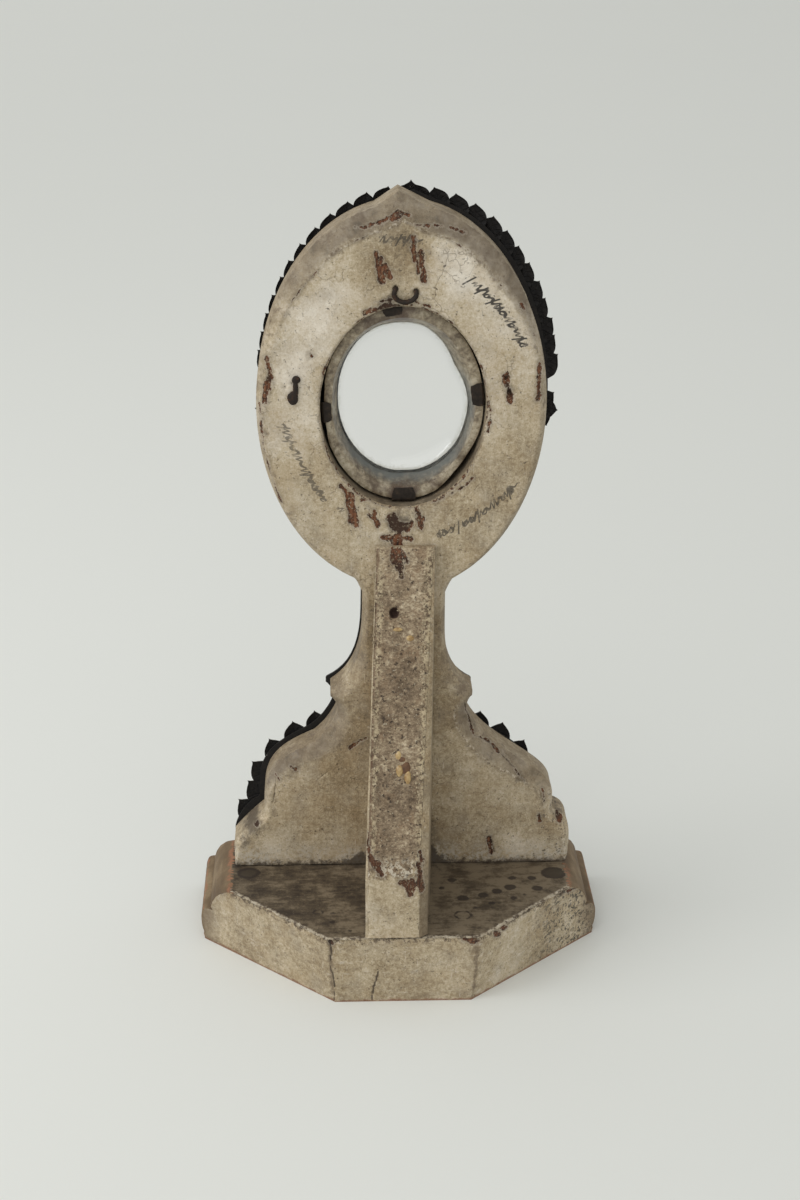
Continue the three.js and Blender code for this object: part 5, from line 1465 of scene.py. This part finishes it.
def makeClouded():
    cloud = Finish("cloudedGlass")
    height = cloud.axis(2)
    blotch = 0.5 + cloud.drift(1.0, 8, 5, 0.62, twist=0.6) + cloud.drift(0.9, 2.2, 4, 0.7, seed=2)
    color = cloud.ramp(blotch, (0.34, (0.13, 0.094, 0.058)), (0.50, (0.295, 0.238, 0.158)),
                       (0.66, (0.50, 0.43, 0.315)))
    stained = (cloud.value("stain") + cloud.drift(1.3, 4, 5, 0.72, seed=3)).step(0.25, 0.75)
    specks = cloud.noise(1.2, 4, 0.7, seed=4).step(0.59, 0.66)
    # painted reflection: a bluish grey on the inner flank, strongest at the bottom and towards the right (-x)
    low = height.step(204, 184).most(cloud.axis(0).step(-12, -24) * height.step(228, 204) * 0.8)
    inner = (cloud.value("share") + cloud.drift(0.10, 4, 4, 0.65, seed=5)).step(0.895, 0.82)
    color = cloud.coats(color, (stained * 0.85, (0.075, 0.040, 0.023)), (specks * 0.6, (0.06, 0.042, 0.03)),
                        (inner * (low * 0.8 + 0.05), (0.16, 0.178, 0.172)))
    plain = {"Coat Weight": 0.35, "Coat Roughness": 0.15}
    return cloud.finishWith(color, 0.42 + blotch * 0.3, cloud.noise(1.4, 3), 0.06, plain)


window = glassPiece()
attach(window, "root")
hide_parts("window_glass")

tabMake = dict(sheet=0.5, radius=0.9)
tabPlaces = [
    ("tab_top", 82, 7.0, 3.4), ("tab_left", -4, 7.6, 3.6), ("tab_right", 174, 8.4, 4.6),
    ("tab_bottom", -91, 8.6, 5.0),
]


def bentTab(name, degrees, wide, lap):
    # a strip of tin that comes up the opening's wall and is bent over the rim of the glass
    low, high = (np.array(corner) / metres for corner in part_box(name))
    angle = math.radians(degrees)
    halfWidth, halfHeight = boardMake["openingHalfWidth"], boardMake["openingHalfHeight"]
    wallX, wallZ = halfWidth * math.cos(angle), halfHeight * math.sin(angle)
    outward = np.array((wallX / halfWidth ** 2, 0, wallZ / halfHeight ** 2))
    outward /= np.linalg.norm(outward)
    across = np.cross((0, 1, 0), outward)
    bend = halfWidth ** 2 * halfHeight ** 2 * (wallX ** 2 / halfWidth ** 4 + wallZ ** 2 / halfHeight ** 4) ** 1.5
    clearance = 0.3 + wide ** 2 / (8 * bend)
    onWall = np.array((boardMake["openingX"] + wallX, high[1], boardMake["openingZ"] + wallZ))
    origin = onWall - outward * clearance
    radius, thick = tabMake["radius"], tabMake["sheet"]
    path = [(0.0, -d) for d in np.linspace(high[1] - low[1], radius, 8)]
    path += [(-radius * (1 - math.cos(t)), -radius * (1 - math.sin(t)))
             for t in np.linspace(0, math.pi / 2, 7)[1:]]
    path += [(-d, 0.0) for d in np.linspace(radius, lap, 8)[1:]]
    path = np.array(path)               # (inward, back) along the strip's outer face
    normal = np.array([(b, -a) for a, b in np.gradient(path, axis=0)])
    normal = normal / np.linalg.norm(normal, axis=1)[:, None]
    columns, points = np.linspace(-0.5, 0.5, 12), []
    for layer in (0.0, 1.0):
        for (inward, back), face, share in zip(path, normal, np.linspace(0, 1, len(path))):
            shrink = 1 - 0.16 * smoothStep(0.75, 1, share) - 0.05 * share
            for c in columns:
                ragged = 0.35 * bumps(np.array([(c * 5, degrees * 0.37)]), 1.1, 3)[0] * smoothStep(0.8, 1, share)
                a = inward + abs(ragged) + face[0] * thick * layer
                b = back - abs(face[1]) * thick * layer
                points.append(origin + outward * min(a, 0.0) + np.array((0, 1, 0)) * min(b, 0.0)
                              + across * c * wide * shrink)
    return np.array(points), shellFaces(len(path), len(columns))


def makeTin():
    tin = Finish("darkTin")
    worn = tin.noise(2.4, 4, 0.65)
    color = tin.ramp(worn, (0.3, (0.012, 0.009, 0.007)), (0.55, (0.035, 0.026, 0.02)),
                     (0.8, (0.12, 0.075, 0.045)))
    return tin.finishWith(color, worn * 0.35 + 0.4, tin.noise(0.6, 3), 0.06, {"Metallic": 0.6})


tinFinish = makeTin()
for name, degrees, wide, lap in tabPlaces:
    strip = bentTab(name, degrees, wide, lap)
    piece = makeMesh(name.replace("tab_", "tinTab_"), *strip, finishes=[tinFinish], crisp=35)
    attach(piece, "root")
    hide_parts(name)
print("window and tabs are in")


# iron: the hanging loop and the clinched nail

loopMake = dict(x=-1.2, z=247.5, halfWidth=3.8, halfHeight=2.8, wire=0.82, start=35, end=-195, proud=1.15)


def buildLoop():
    make = loopMake
    start, end = math.radians(make["start"]), math.radians(make["end"])

    def at(angle, out):
        return (make["x"] + make["halfWidth"] * math.cos(angle), boardBack + out,
                make["z"] + make["halfHeight"] * math.sin(angle))
    route = [at(start, out) for out in (-3.1, -1.2, 0.2)]
    route += [at(blend(start, end, s), make["proud"]) for s in np.linspace(0.05, 0.95, 19)]
    path = eased(evenly(route + [at(end, out) for out in (0.2, -1.2, -3.1)], 0.25), 4)
    ahead = np.gradient(path, axis=0)
    ahead /= np.linalg.norm(ahead, axis=1)[:, None]
    side = np.cross(ahead, (0.05, 1, 0.02))
    side /= np.linalg.norm(side, axis=1)[:, None]
    other = np.cross(ahead, side)
    count = 16
    angle = np.arange(count) * 2 * math.pi / count
    wall = np.vstack([p + make["wire"] * (np.cos(angle)[:, None] * a + np.sin(angle)[:, None] * b)
                      for p, a, b in zip(path, side, other)])
    wall += (wall - np.repeat(path, count, 0)) * (0.10 * bumps(wall, 1.1, 15, 2))[:, None]
    return np.vstack([wall, path[:1], path[-1:]]), closedStrip(len(path), count)


nailMake = dict(
    grain=0.16, lowest=-9.62, highest=-7.85,
    # knob, shank and bent point: place, half sizes, seed, tilt, rows, columns, unevenness
    lumps=[((35.9, -8.95, 217.7), (1.5, 0.85, 1.45), 31, 0, 14, 20, 0.10),
           ((36.1, -9.0, 214.6), (0.95, 0.75, 3.6), 32, 0, 14, 16, 0.08),
           ((37.1, -9.0, 211.2), (1.9, 0.75, 2.55), 33, 0, 14, 20, 0.12)],
)


def buildNail():
    return joinParts([ovalLump(*lump) for lump in nailMake["lumps"]])


def makeIron():
    iron = Finish("darkIron")
    rusty = iron.noise(1.6, 5, 0.7)
    color = iron.ramp(rusty, (0.3, (0.010, 0.007, 0.005)), (0.54, (0.026, 0.015, 0.009)),
                      (0.74, (0.12, 0.05, 0.022)))
    return iron.finishWith(color, rusty * 0.4 + 0.45, iron.noise(0.5, 4, 0.7), 0.14, {"Metallic": 0.35})


ironFinish = makeIron()
loopPiece = makeMesh("hangingLoop", *buildLoop(), finishes=[ironFinish], crisp=60)
nailPiece = makeMesh("clinchedNail", *buildNail(), [ironFinish], crisp=60)
skin = nailPiece.modifiers.new("oneSkin", "REMESH")
skin.mode, skin.voxel_size, skin.use_smooth_shade = "VOXEL", nailMake["grain"] * metres, True
graph = bpy.context.evaluated_depsgraph_get()
oneSkin = bpy.data.meshes.new_from_object(nailPiece.evaluated_get(graph))
nailPiece.modifiers.remove(skin)
nailPiece.data = oneSkin
oneSkin.materials.clear()
oneSkin.materials.append(ironFinish)
nailPlace, nailFacing = meshPoints(oneSkin)
nailPlace += nailFacing * (0.07 * bumps(nailPlace, 0.8, 35, 2))[:, None]
nailPlace[:, 1] = np.clip(nailPlace[:, 1], nailMake["lowest"], nailMake["highest"])
putPoints(oneSkin, nailPlace)
for piece, node in ((loopPiece, "hanging_loop"), (nailPiece, "clinched_nail")):
    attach(piece, "root")
    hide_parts(node)
print("iron loop and nail are in")


# silver front: an embossed sheet, with rows of leaves and beads raised from it

silverMake = dict(
    front=-24.5, foremost=-29.5, highest=282.7, foot=standing, thickness=1.0, lean=0.0155, footX=1.4,
    spacing=0.75,
    holeZ=207.0, holeHalfWidth=24.3, holeHalfHeight=29.3,
    bezel=[(-0.6, 3.0), (1.0, 4.9), (3.2, 4.3), (4.4, 1.9), (4.9, 1.0)],
    ovalZ=209.0, ovalHalfWidth=33.0, ovalHalfHeight=46.0, ovalBand=1.5, ovalHeight=1.8, rays=24, rayHeight=1.0,
    bars=[(139.5, 13.4, 2.0, 1.6), (114.6, 13.8, 2.0, 1.6), (30.6, 58.0, 2.2, 1.8)],
    neckBoss=(0, 127, 7.4, 8.6, 3.6), roundBoss=(0, 58, 15.5, 15.5, 4.0), bossRing=(58, 18.4, 1.4, 1.6),
    rosettes=[(43.8, 200), (-45.8, 203)], rosetteRadius=8.4,
)


def standUp(flat, height):              # from the sheet's own plane to its leaning place on the board
    lean = silverMake["lean"]
    x = flat[:, 0] * math.cos(lean) - flat[:, 1] * math.sin(lean) + silverMake["footX"]
    z = flat[:, 0] * math.sin(lean) + flat[:, 1] * math.cos(lean)
    return np.c_[x, silverMake["front"] - height, z]


def ovalDistance(flat, x, z, halfWidth, halfHeight):    # roughly how far outside an oval, in millimetres
    dx, dz = flat[:, 0] - x, flat[:, 1] - z
    k = np.hypot(dx / halfWidth, dz / halfHeight)
    gradient = np.hypot(dx / halfWidth ** 2, dz / halfHeight ** 2) / np.maximum(k, 1e-6)
    return (k - 1) / np.maximum(gradient, 1e-6)


def silverRelief(flat):
    make = silverMake
    height = np.full(len(flat), make["thickness"])
    oval = ovalDistance(flat, 0, make["ovalZ"], make["ovalHalfWidth"], make["ovalHalfHeight"])
    hole = ovalDistance(flat, 0, make["holeZ"], make["holeHalfWidth"], make["holeHalfHeight"])
    band = np.clip(1 - (oval / make["ovalBand"]) ** 2, 0, 1) ** 0.6
    height = np.maximum(height, 1 + make["ovalHeight"] * band)
    angle = np.arctan2((flat[:, 1] - make["ovalZ"]) / make["ovalHalfHeight"], flat[:, 0] / make["ovalHalfWidth"])
    turn = (angle / (2 * math.pi) * make["rays"]) % 1
    between = np.clip(hole / 12.0, 0, 1)
    ray = np.clip(1 - np.abs(turn - 0.5) * 2 / blend(0.85, 0.45, between), 0, 1)
    rayed = (hole > 3.8) & (oval < -0.6)
    height = np.maximum(height, np.where(rayed, 1 + make["rayHeight"] * 1.6 * ray, 0))
    fine = np.clip(1 - np.abs(((turn * 2) % 1) - 0.5) * 5, 0, 1)
    height += np.where(rayed, 0.3 * fine, 0)
    bezelOut, bezelUp = np.array(make["bezel"]).T
    height = np.maximum(height, np.where(hole < 4.9, np.interp(hole, bezelOut, bezelUp), 0))
    for z, halfLength, halfHeight, raised in make["bars"]:
        across = np.clip(1 - ((flat[:, 1] - z) / halfHeight) ** 2, 0, 1)
        ends = smoothStep(halfLength, halfLength - 1.5, np.abs(flat[:, 0]))
        reeds = 0.25 * np.sin(flat[:, 0] * 2.4 + flat[:, 1] * 1.6)
        height = np.maximum(height, 1 + (raised + reeds * across) * across ** 0.5 * ends)
    for x, z, halfWidth, halfHeight, raised in (make["neckBoss"], make["roundBoss"]):
        k = np.hypot((flat[:, 0] - x) / halfWidth, (flat[:, 1] - z) / halfHeight)
        height = np.maximum(height, 1 + raised * np.sqrt(np.clip(1 - k ** 2, 0, 1)))
    z, radius, halfBand, raised = make["bossRing"]
    ring = np.hypot(flat[:, 0], flat[:, 1] - z) - radius
    height = np.maximum(height, 1 + raised * np.sqrt(np.clip(1 - (ring / halfBand) ** 2, 0, 1)))
    gadroons = np.arctan2(flat[:, 1] - z, flat[:, 0]) / (2 * math.pi) * 16
    flute = np.abs(np.sin(gadroons * math.pi)) ** 0.7
    around = np.hypot(flat[:, 0], flat[:, 1] - z)
    height -= np.where((around > 6.4) & (around < 15.4), 0.7 * (1 - flute), 0)
    for x, z in make["rosettes"]:
        away = np.hypot(flat[:, 0] - x, flat[:, 1] - z)
        height = np.maximum(height, 1 + 1.0 * np.sqrt(np.clip(1 - (away / make["rosetteRadius"]) ** 2, 0, 1)))
    matting = bumps(flat, 1.5, 201, 2) * 0.12
    plain = height < 1.05
    return height + np.where(plain, matting, matting * 0.3)


def buildSheet():
    make = silverMake
    outline = outlineLoop(sheetForm, 0.8)[0]
    lean = make["lean"]
    # the foot is cut level after the sheet leans, so the loop is clipped in the leaning frame
    low = (make["foot"] - outline[:, 0] * math.sin(lean)) / math.cos(lean)
    outline[:, 1] = np.where(outline[:, 1] < 27.5, low + (outline[:, 1] - standing), outline[:, 1])
    hole = ovalLoop(0, make["holeZ"], make["holeHalfWidth"], make["holeHalfHeight"], 0.8)
    lattice = hexPoints((-66, 25), (66, 282), make["spacing"])[0]
    lattice = lattice[insideLoop(lattice, outline) & ~insideLoop(lattice, hole)]
    toEdge, toHole = nearPath(lattice, closedPath(outline)[::2])[0], nearPath(lattice, closedPath(hole))[0]
    lattice = lattice[(toEdge > 0.4) & (toHole > 0.35)]
    flat, faces = fillFlat([outline, hole], lattice)
    height = silverRelief(flat)
    parts = [(standUp(flat, height), faces, {"rise": np.clip((height - 1) / 3.5, 0, 1)})]
    rowNumber = np.round((lattice[:, 1] - 25) / (make["spacing"] * 0.8660254)).astype(int)
    flat, faces = fillFlat([outline, hole], lattice[rowNumber % 3 == 0][::3])
    parts.append((standUp(flat, np.zeros(len(flat))), faces, {"back": 1.0}))
    for first, loop in ((0, outline), (len(outline), hole)):
        top = height[first:first + len(loop)]
        rows = [standUp(loop, top * share) for share in (0, 0.5, 1)]
        parts.append((np.vstack(rows), stripFaces(3, len(loop)), {"back": 1.0}))
    return joinParts(parts)


def makeSilver():
    silver = Finish("tarnishedSilver")
    rise, back = silver.value("rise"), silver.value("back")
    patchy, fine = silver.noise(14, 4, 0.6), silver.noise(1.6, 4, 0.68)
    scratchy = silver.drift(0.25, 0.5, 2, 0.6, place=silver.mapped((1, 1, 0.1), (0, 0.7, 0)))
    along, across = silver.value("leafAlong"), silver.value("leafAcross").size()
    ribs = (along * 34 - across * 9).math("SINE").step(0.5, 0.95) * along.step(1.0, 0.75)
    veins = ribs.most(across.step(0.16, 0.05) * along.step(0.97, 0.75)) * along.step(0.0, 0.06)
    bright = rise * 0.78 - veins * 0.24 + (patchy - 0.5) * 0.8 + (fine - 0.5) * 0.7 + scratchy + 0.09
    color = silver.ramp(bright, (0.0, (0.055, 0.043, 0.033)), (0.25, (0.13, 0.108, 0.082)),
                        (0.5, (0.29, 0.255, 0.205)), (0.8, (0.52, 0.485, 0.42)), (1.0, (0.74, 0.71, 0.65)))
    brown = silver.noise(7, 5, 0.7, seed=3).step(0.52, 0.68)
    # the back and the edges are black with tarnish and old pitch
    black = silver.ramp(fine, (0.35, (0.004, 0.0033, 0.003)), (0.6, (0.009, 0.007, 0.006)),
                        (0.78, (0.03, 0.022, 0.016)))
    flecks = silver.cells(4).step(0.06, 0.03) * back * silver.noise(9, 2, seed=4).step(0.5, 0.56)
    color = silver.coats(color, (brown * 0.45, (0.12, 0.072, 0.04)), (back.step(0.3, 0.7), black),
                         (flecks * 0.7, (0.4, 0.39, 0.36)))
    rough = 0.56 - bright.most(0.0).least(1.0) * 0.32 + back * 0.2
    relief = patchy * 0.6 + fine * 0.8 + silver.noise(0.5, 2) * 0.4 - veins * 1.4
    return silver.finishWith(color, rough, relief, 0.12, {"Metallic": 0.9 - back * 0.75})


silverFinish = makeSilver()
sheetPiece = makeMesh("silverFront", *buildSheet(), finishes=[silverFinish], crisp=50)
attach(sheetPiece, "root")
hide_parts("silver_front")
print("silver sheet:", len(sheetPiece.data.polygons), "triangles")


def leafShape(name):
    # a pointed leaf of unit length and width: a thin shell with a midrib and veins, closed below
    rows, columns = 11, 7
    v = np.linspace(0, 1, rows) ** 0.85
    u = np.linspace(-1, 1, columns)
    width = np.where(v < 0.45, 1 - 0.55 * ((0.45 - v) / 0.45) ** 2,
                     1 - (np.maximum(v - 0.45, 0) / 0.55) ** 2.7) / 2
    points, rise = [], []
    for layer in (1, 0):
        for i, along in enumerate(v):
            for across in u:
                bow = 0.85 * (1 - abs(across) ** 1.6) * math.sin(math.pi * min(1, along * 0.85 + 0.12))
                rib = -0.35 * math.exp(-(across / 0.16) ** 2) * (1 - along)
                veins = 0.16 * math.sin(along * 22 + abs(across) * 5) * abs(across) * (1 - along ** 3)
                top = 0.18 + bow + rib + veins + 0.55 * along ** 3
                points.append((across * width[i], along - 0.05 * abs(across), top - (0 if layer else 0.24)))
                rise.append(np.clip((top - 0.42) / 0.72, 0, 1) * (0.55 + 0.45 * along) if layer else 0)
    values = {"rise": np.array(rise), "back": np.repeat((0.0, 1.0), rows * columns),
              "leafAlong": np.tile(np.repeat(v, columns), 2), "leafAcross": np.tile(u, 2 * rows)}
    return makeMesh(name, np.array(points), shellFaces(rows, columns), values, crisp=60)


def beadShape(name):
    points, faces, _ = ovalLump((0, 0, 0), (1, 1, 1), 3, rows=5, columns=8, wobble=0.0)
    return makeMesh(name, points, faces, {"rise": np.clip(0.4 + points[:, 2], 0, 1), "back": 0.0}, crisp=80)


def leafRowTree():
    # bundles of three leaves along a stem in the XY plane; sizes run from its start to its end
    tree = RowTree("leafRow", {"Leaf": "Object", "Count": 11, "Start Length": 13.4, "End Length": 11.0,
                               "Width": 7.8, "Spread": 44.0, "Height": 2.2, "Side": 1.0, "Seed": 1,
                               "Finish": "Material"})
    points = tree.spread("COUNT", tree["Count"])
    tangent = tree.node("GeometryNodeInputTangent").outputs[0]
    sideways, forward = (tree.number("ShaderNodeSeparateXYZ", None, {0: tangent}, axis) for axis in (0, 1))
    ahead = forward.math("ARCTAN2", sideways)
    start, end = tree["Start Length"], tree["End Length"]
    length = start + (end - start) * tree.number("GeometryNodeSplineParameter")
    width = tree["Width"] * length / end
    angle = tree["Side"] * (tree["Spread"] * (math.pi / 180))
    joined = tree.node("GeometryNodeJoinGeometry")
    for number, (lean, reach, lift) in enumerate(((0.0, 0.94, 0.9), (0.75, 0.9, 0.35), (-1.0, 0.86, 0.15))):
        jitter = tree.chance(-1.0, 1.0, number)
        turn = tree.vector(z=ahead - math.pi / 2 + angle * lean + jitter * 0.06)
        high = tree["Height"] * (0.95 + jitter * 0.06)
        scale = tree.vector(width * (1 + jitter * 0.05), length * reach, high)
        raised = tree.moved(points, tree.vector(z=jitter * 0.08 + lift + 0.75))
        tree.feed(joined.inputs[0], tree.copies(raised, "Leaf", turn, scale))
    return tree.finish(joined.outputs[0])


def beadRowTree():
    tree = RowTree("beadRow", {"Bead": "Object", "Spacing": 2.4, "Radius": 1.0, "Flatness": 0.75, "Seed": 1,
                               "Finish": "Material"})
    size = tree["Radius"] * tree.chance(0.93, 1.05, 0)
    scale = tree.vector(size, size, size * tree["Flatness"])
    return tree.finish(tree.copies(tree.spread("LENGTH", tree["Spacing"]), "Bead", (0, 0, 0), scale))


def ovalStem(x, z, halfWidth, halfHeight, side, fromDegrees, toDegrees):
    angle = np.radians(np.linspace(fromDegrees, toDegrees, 40))
    return np.c_[x + side * halfWidth * np.cos(angle), z + halfHeight * np.sin(angle)]


def shoulderStem(side):
    knots = np.array([(52, 33), (47.5, 43), (46, 55), (39.8, 66), (29, 73), (20, 82)], float) * (side, 1)
    path = eased(evenly(knots, 1.0), 12)
    return path[int(0.06 * len(path)):int(0.8 * len(path))]


leafPiece, beadPiece = leafShape("leafPattern"), beadShape("beadPattern")
for pattern in (leafPiece, beadPiece):   # patterns are drawn in units of their own, so they go back to that size
    pattern.data.transform(Matrix.Scale(1 / metres, 4))
leafGroup, beadGroup = leafRowTree(), beadRowTree()
leafWork, beadWork = [], []
for side in (1, -1):
    rows = [                            # path, then how many bundles, their lengths, width, spread and height
        (ovalStem(-0.9, 210.4, 44.2, 62.7, side, 5, 85), 13, 12.6, 10.2, 8.2, 58.0, 2.1),
        (ovalStem(-0.4, 208, 41.5, 60, side, -74, -20), 7, 10.0, 11.6, 7.6, 52.0, 2.1),
        (shoulderStem(side), 6, 15.6, 12.0, 8.6, 64.0, 1.9),
    ]
    for k, (path, *sizes) in enumerate(rows):
        values = dict(zip(("Count", "Start Length", "End Length", "Width", "Spread", "Height"), sizes))
        values.update(Leaf=leafPiece, Side=float(side), Seed=10 * k + 3 * side + 5, Finish=silverFinish)
        leafWork.append(alongPath(leafGroup, path, 0.0, values))


def loneLeaf(x, z, turn, length, width, high, bed):
    points, triangles, values = meshParts(leafPiece.data)
    points = points * (width, length, high)
    c, s = math.cos(turn), math.sin(turn)
    flat = np.c_[c * points[:, 0] - s * points[:, 1] + x, s * points[:, 0] + c * points[:, 1] + z]
    return np.c_[flat, points[:, 2] + bed], triangles, values


for x, z in silverMake["rosettes"]:
    for k in range(8):
        leafWork.append(loneLeaf(x, z, k / 8 * 2 * math.pi + 0.15, 9.0, 7.6, 1.7, 1.3))
for lean, length in zip((-58, 58, -30, 30, 0), (14, 14, 20, 20, 27)):
    leafWork.append(loneLeaf(0, 110.5, math.pi + math.radians(lean), length, 9.4, 2.3, 0.9 + 0.02 * length))
leafWork.append(loneLeaf(0.2, 267.9, 0.06, 14.6, 11.5, 2.2, 1.0))

beadRows = [    # path, whether it is closed, its height, then the beads' spacing, radius, flatness and seed
    (ovalLoop(0, 207, 30.2, 35.6, 1.0), True, 1.3, 2.25, 0.95, 0.8, 4),
    (ovalLoop(0, 209, 35.6, 48.4, 1.0), True, 1.2, 2.1, 0.8, 0.8, 4),
    (ovalLoop(0, 58, 21.4, 21.4, 1.0), True, 1.1, 2.04, 0.85, 0.7, 5),
    (ovalLoop(0, 58, 6.6, 6.6, 1.0), True, 4.5, 1.68, 0.7, 0.7, 5),
]
for z, half in ((35.1, 55.0), (144.0, 12.0), (110.4, 12.0)):
    beadRows.append((evenly([(-half, z), (half, z)], 2.0), False, 1.1, 2.1, 0.8, 0.8, 6))
for path, closed, height, *sizes in beadRows:
    values = dict(zip(("Spacing", "Radius", "Flatness", "Seed"), sizes), Bead=beadPiece, Finish=silverFinish)
    beadWork.append(alongPath(beadGroup, path, height, values, closed))
for x, z in silverMake["rosettes"]:
    points, faces, _ = ovalLump((x, z, 2.9), (2.2, 2.2, 1.5), 9, 0, 8, 12, 0.05)
    beadWork.append((points, faces, {"rise": 0.8}))


def raiseFromSheet(name, work):
    points, triangles, values = joinParts(work)
    place = standUp(points[:, :2], points[:, 2])
    place[:, 2] = np.clip(place[:, 2], silverMake["foot"], silverMake["highest"])
    place[:, 1] = np.clip(place[:, 1], silverMake["foremost"], silverMake["front"])
    piece = makeMesh(name, place, triangles, values, [silverFinish], crisp=60)
    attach(piece, "root")
    print(name + ":", len(piece.data.polygons), "triangles")


raiseFromSheet("silverLeaves", leafWork)
raiseFromSheet("silverBeads", beadWork)
bpy.data.objects.remove(leafPiece)
bpy.data.objects.remove(beadPiece)

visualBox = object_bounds()
sizes = {"cad": [list(corner) for corner in cadBox], "visual": [list(corner) for corner in visualBox]}
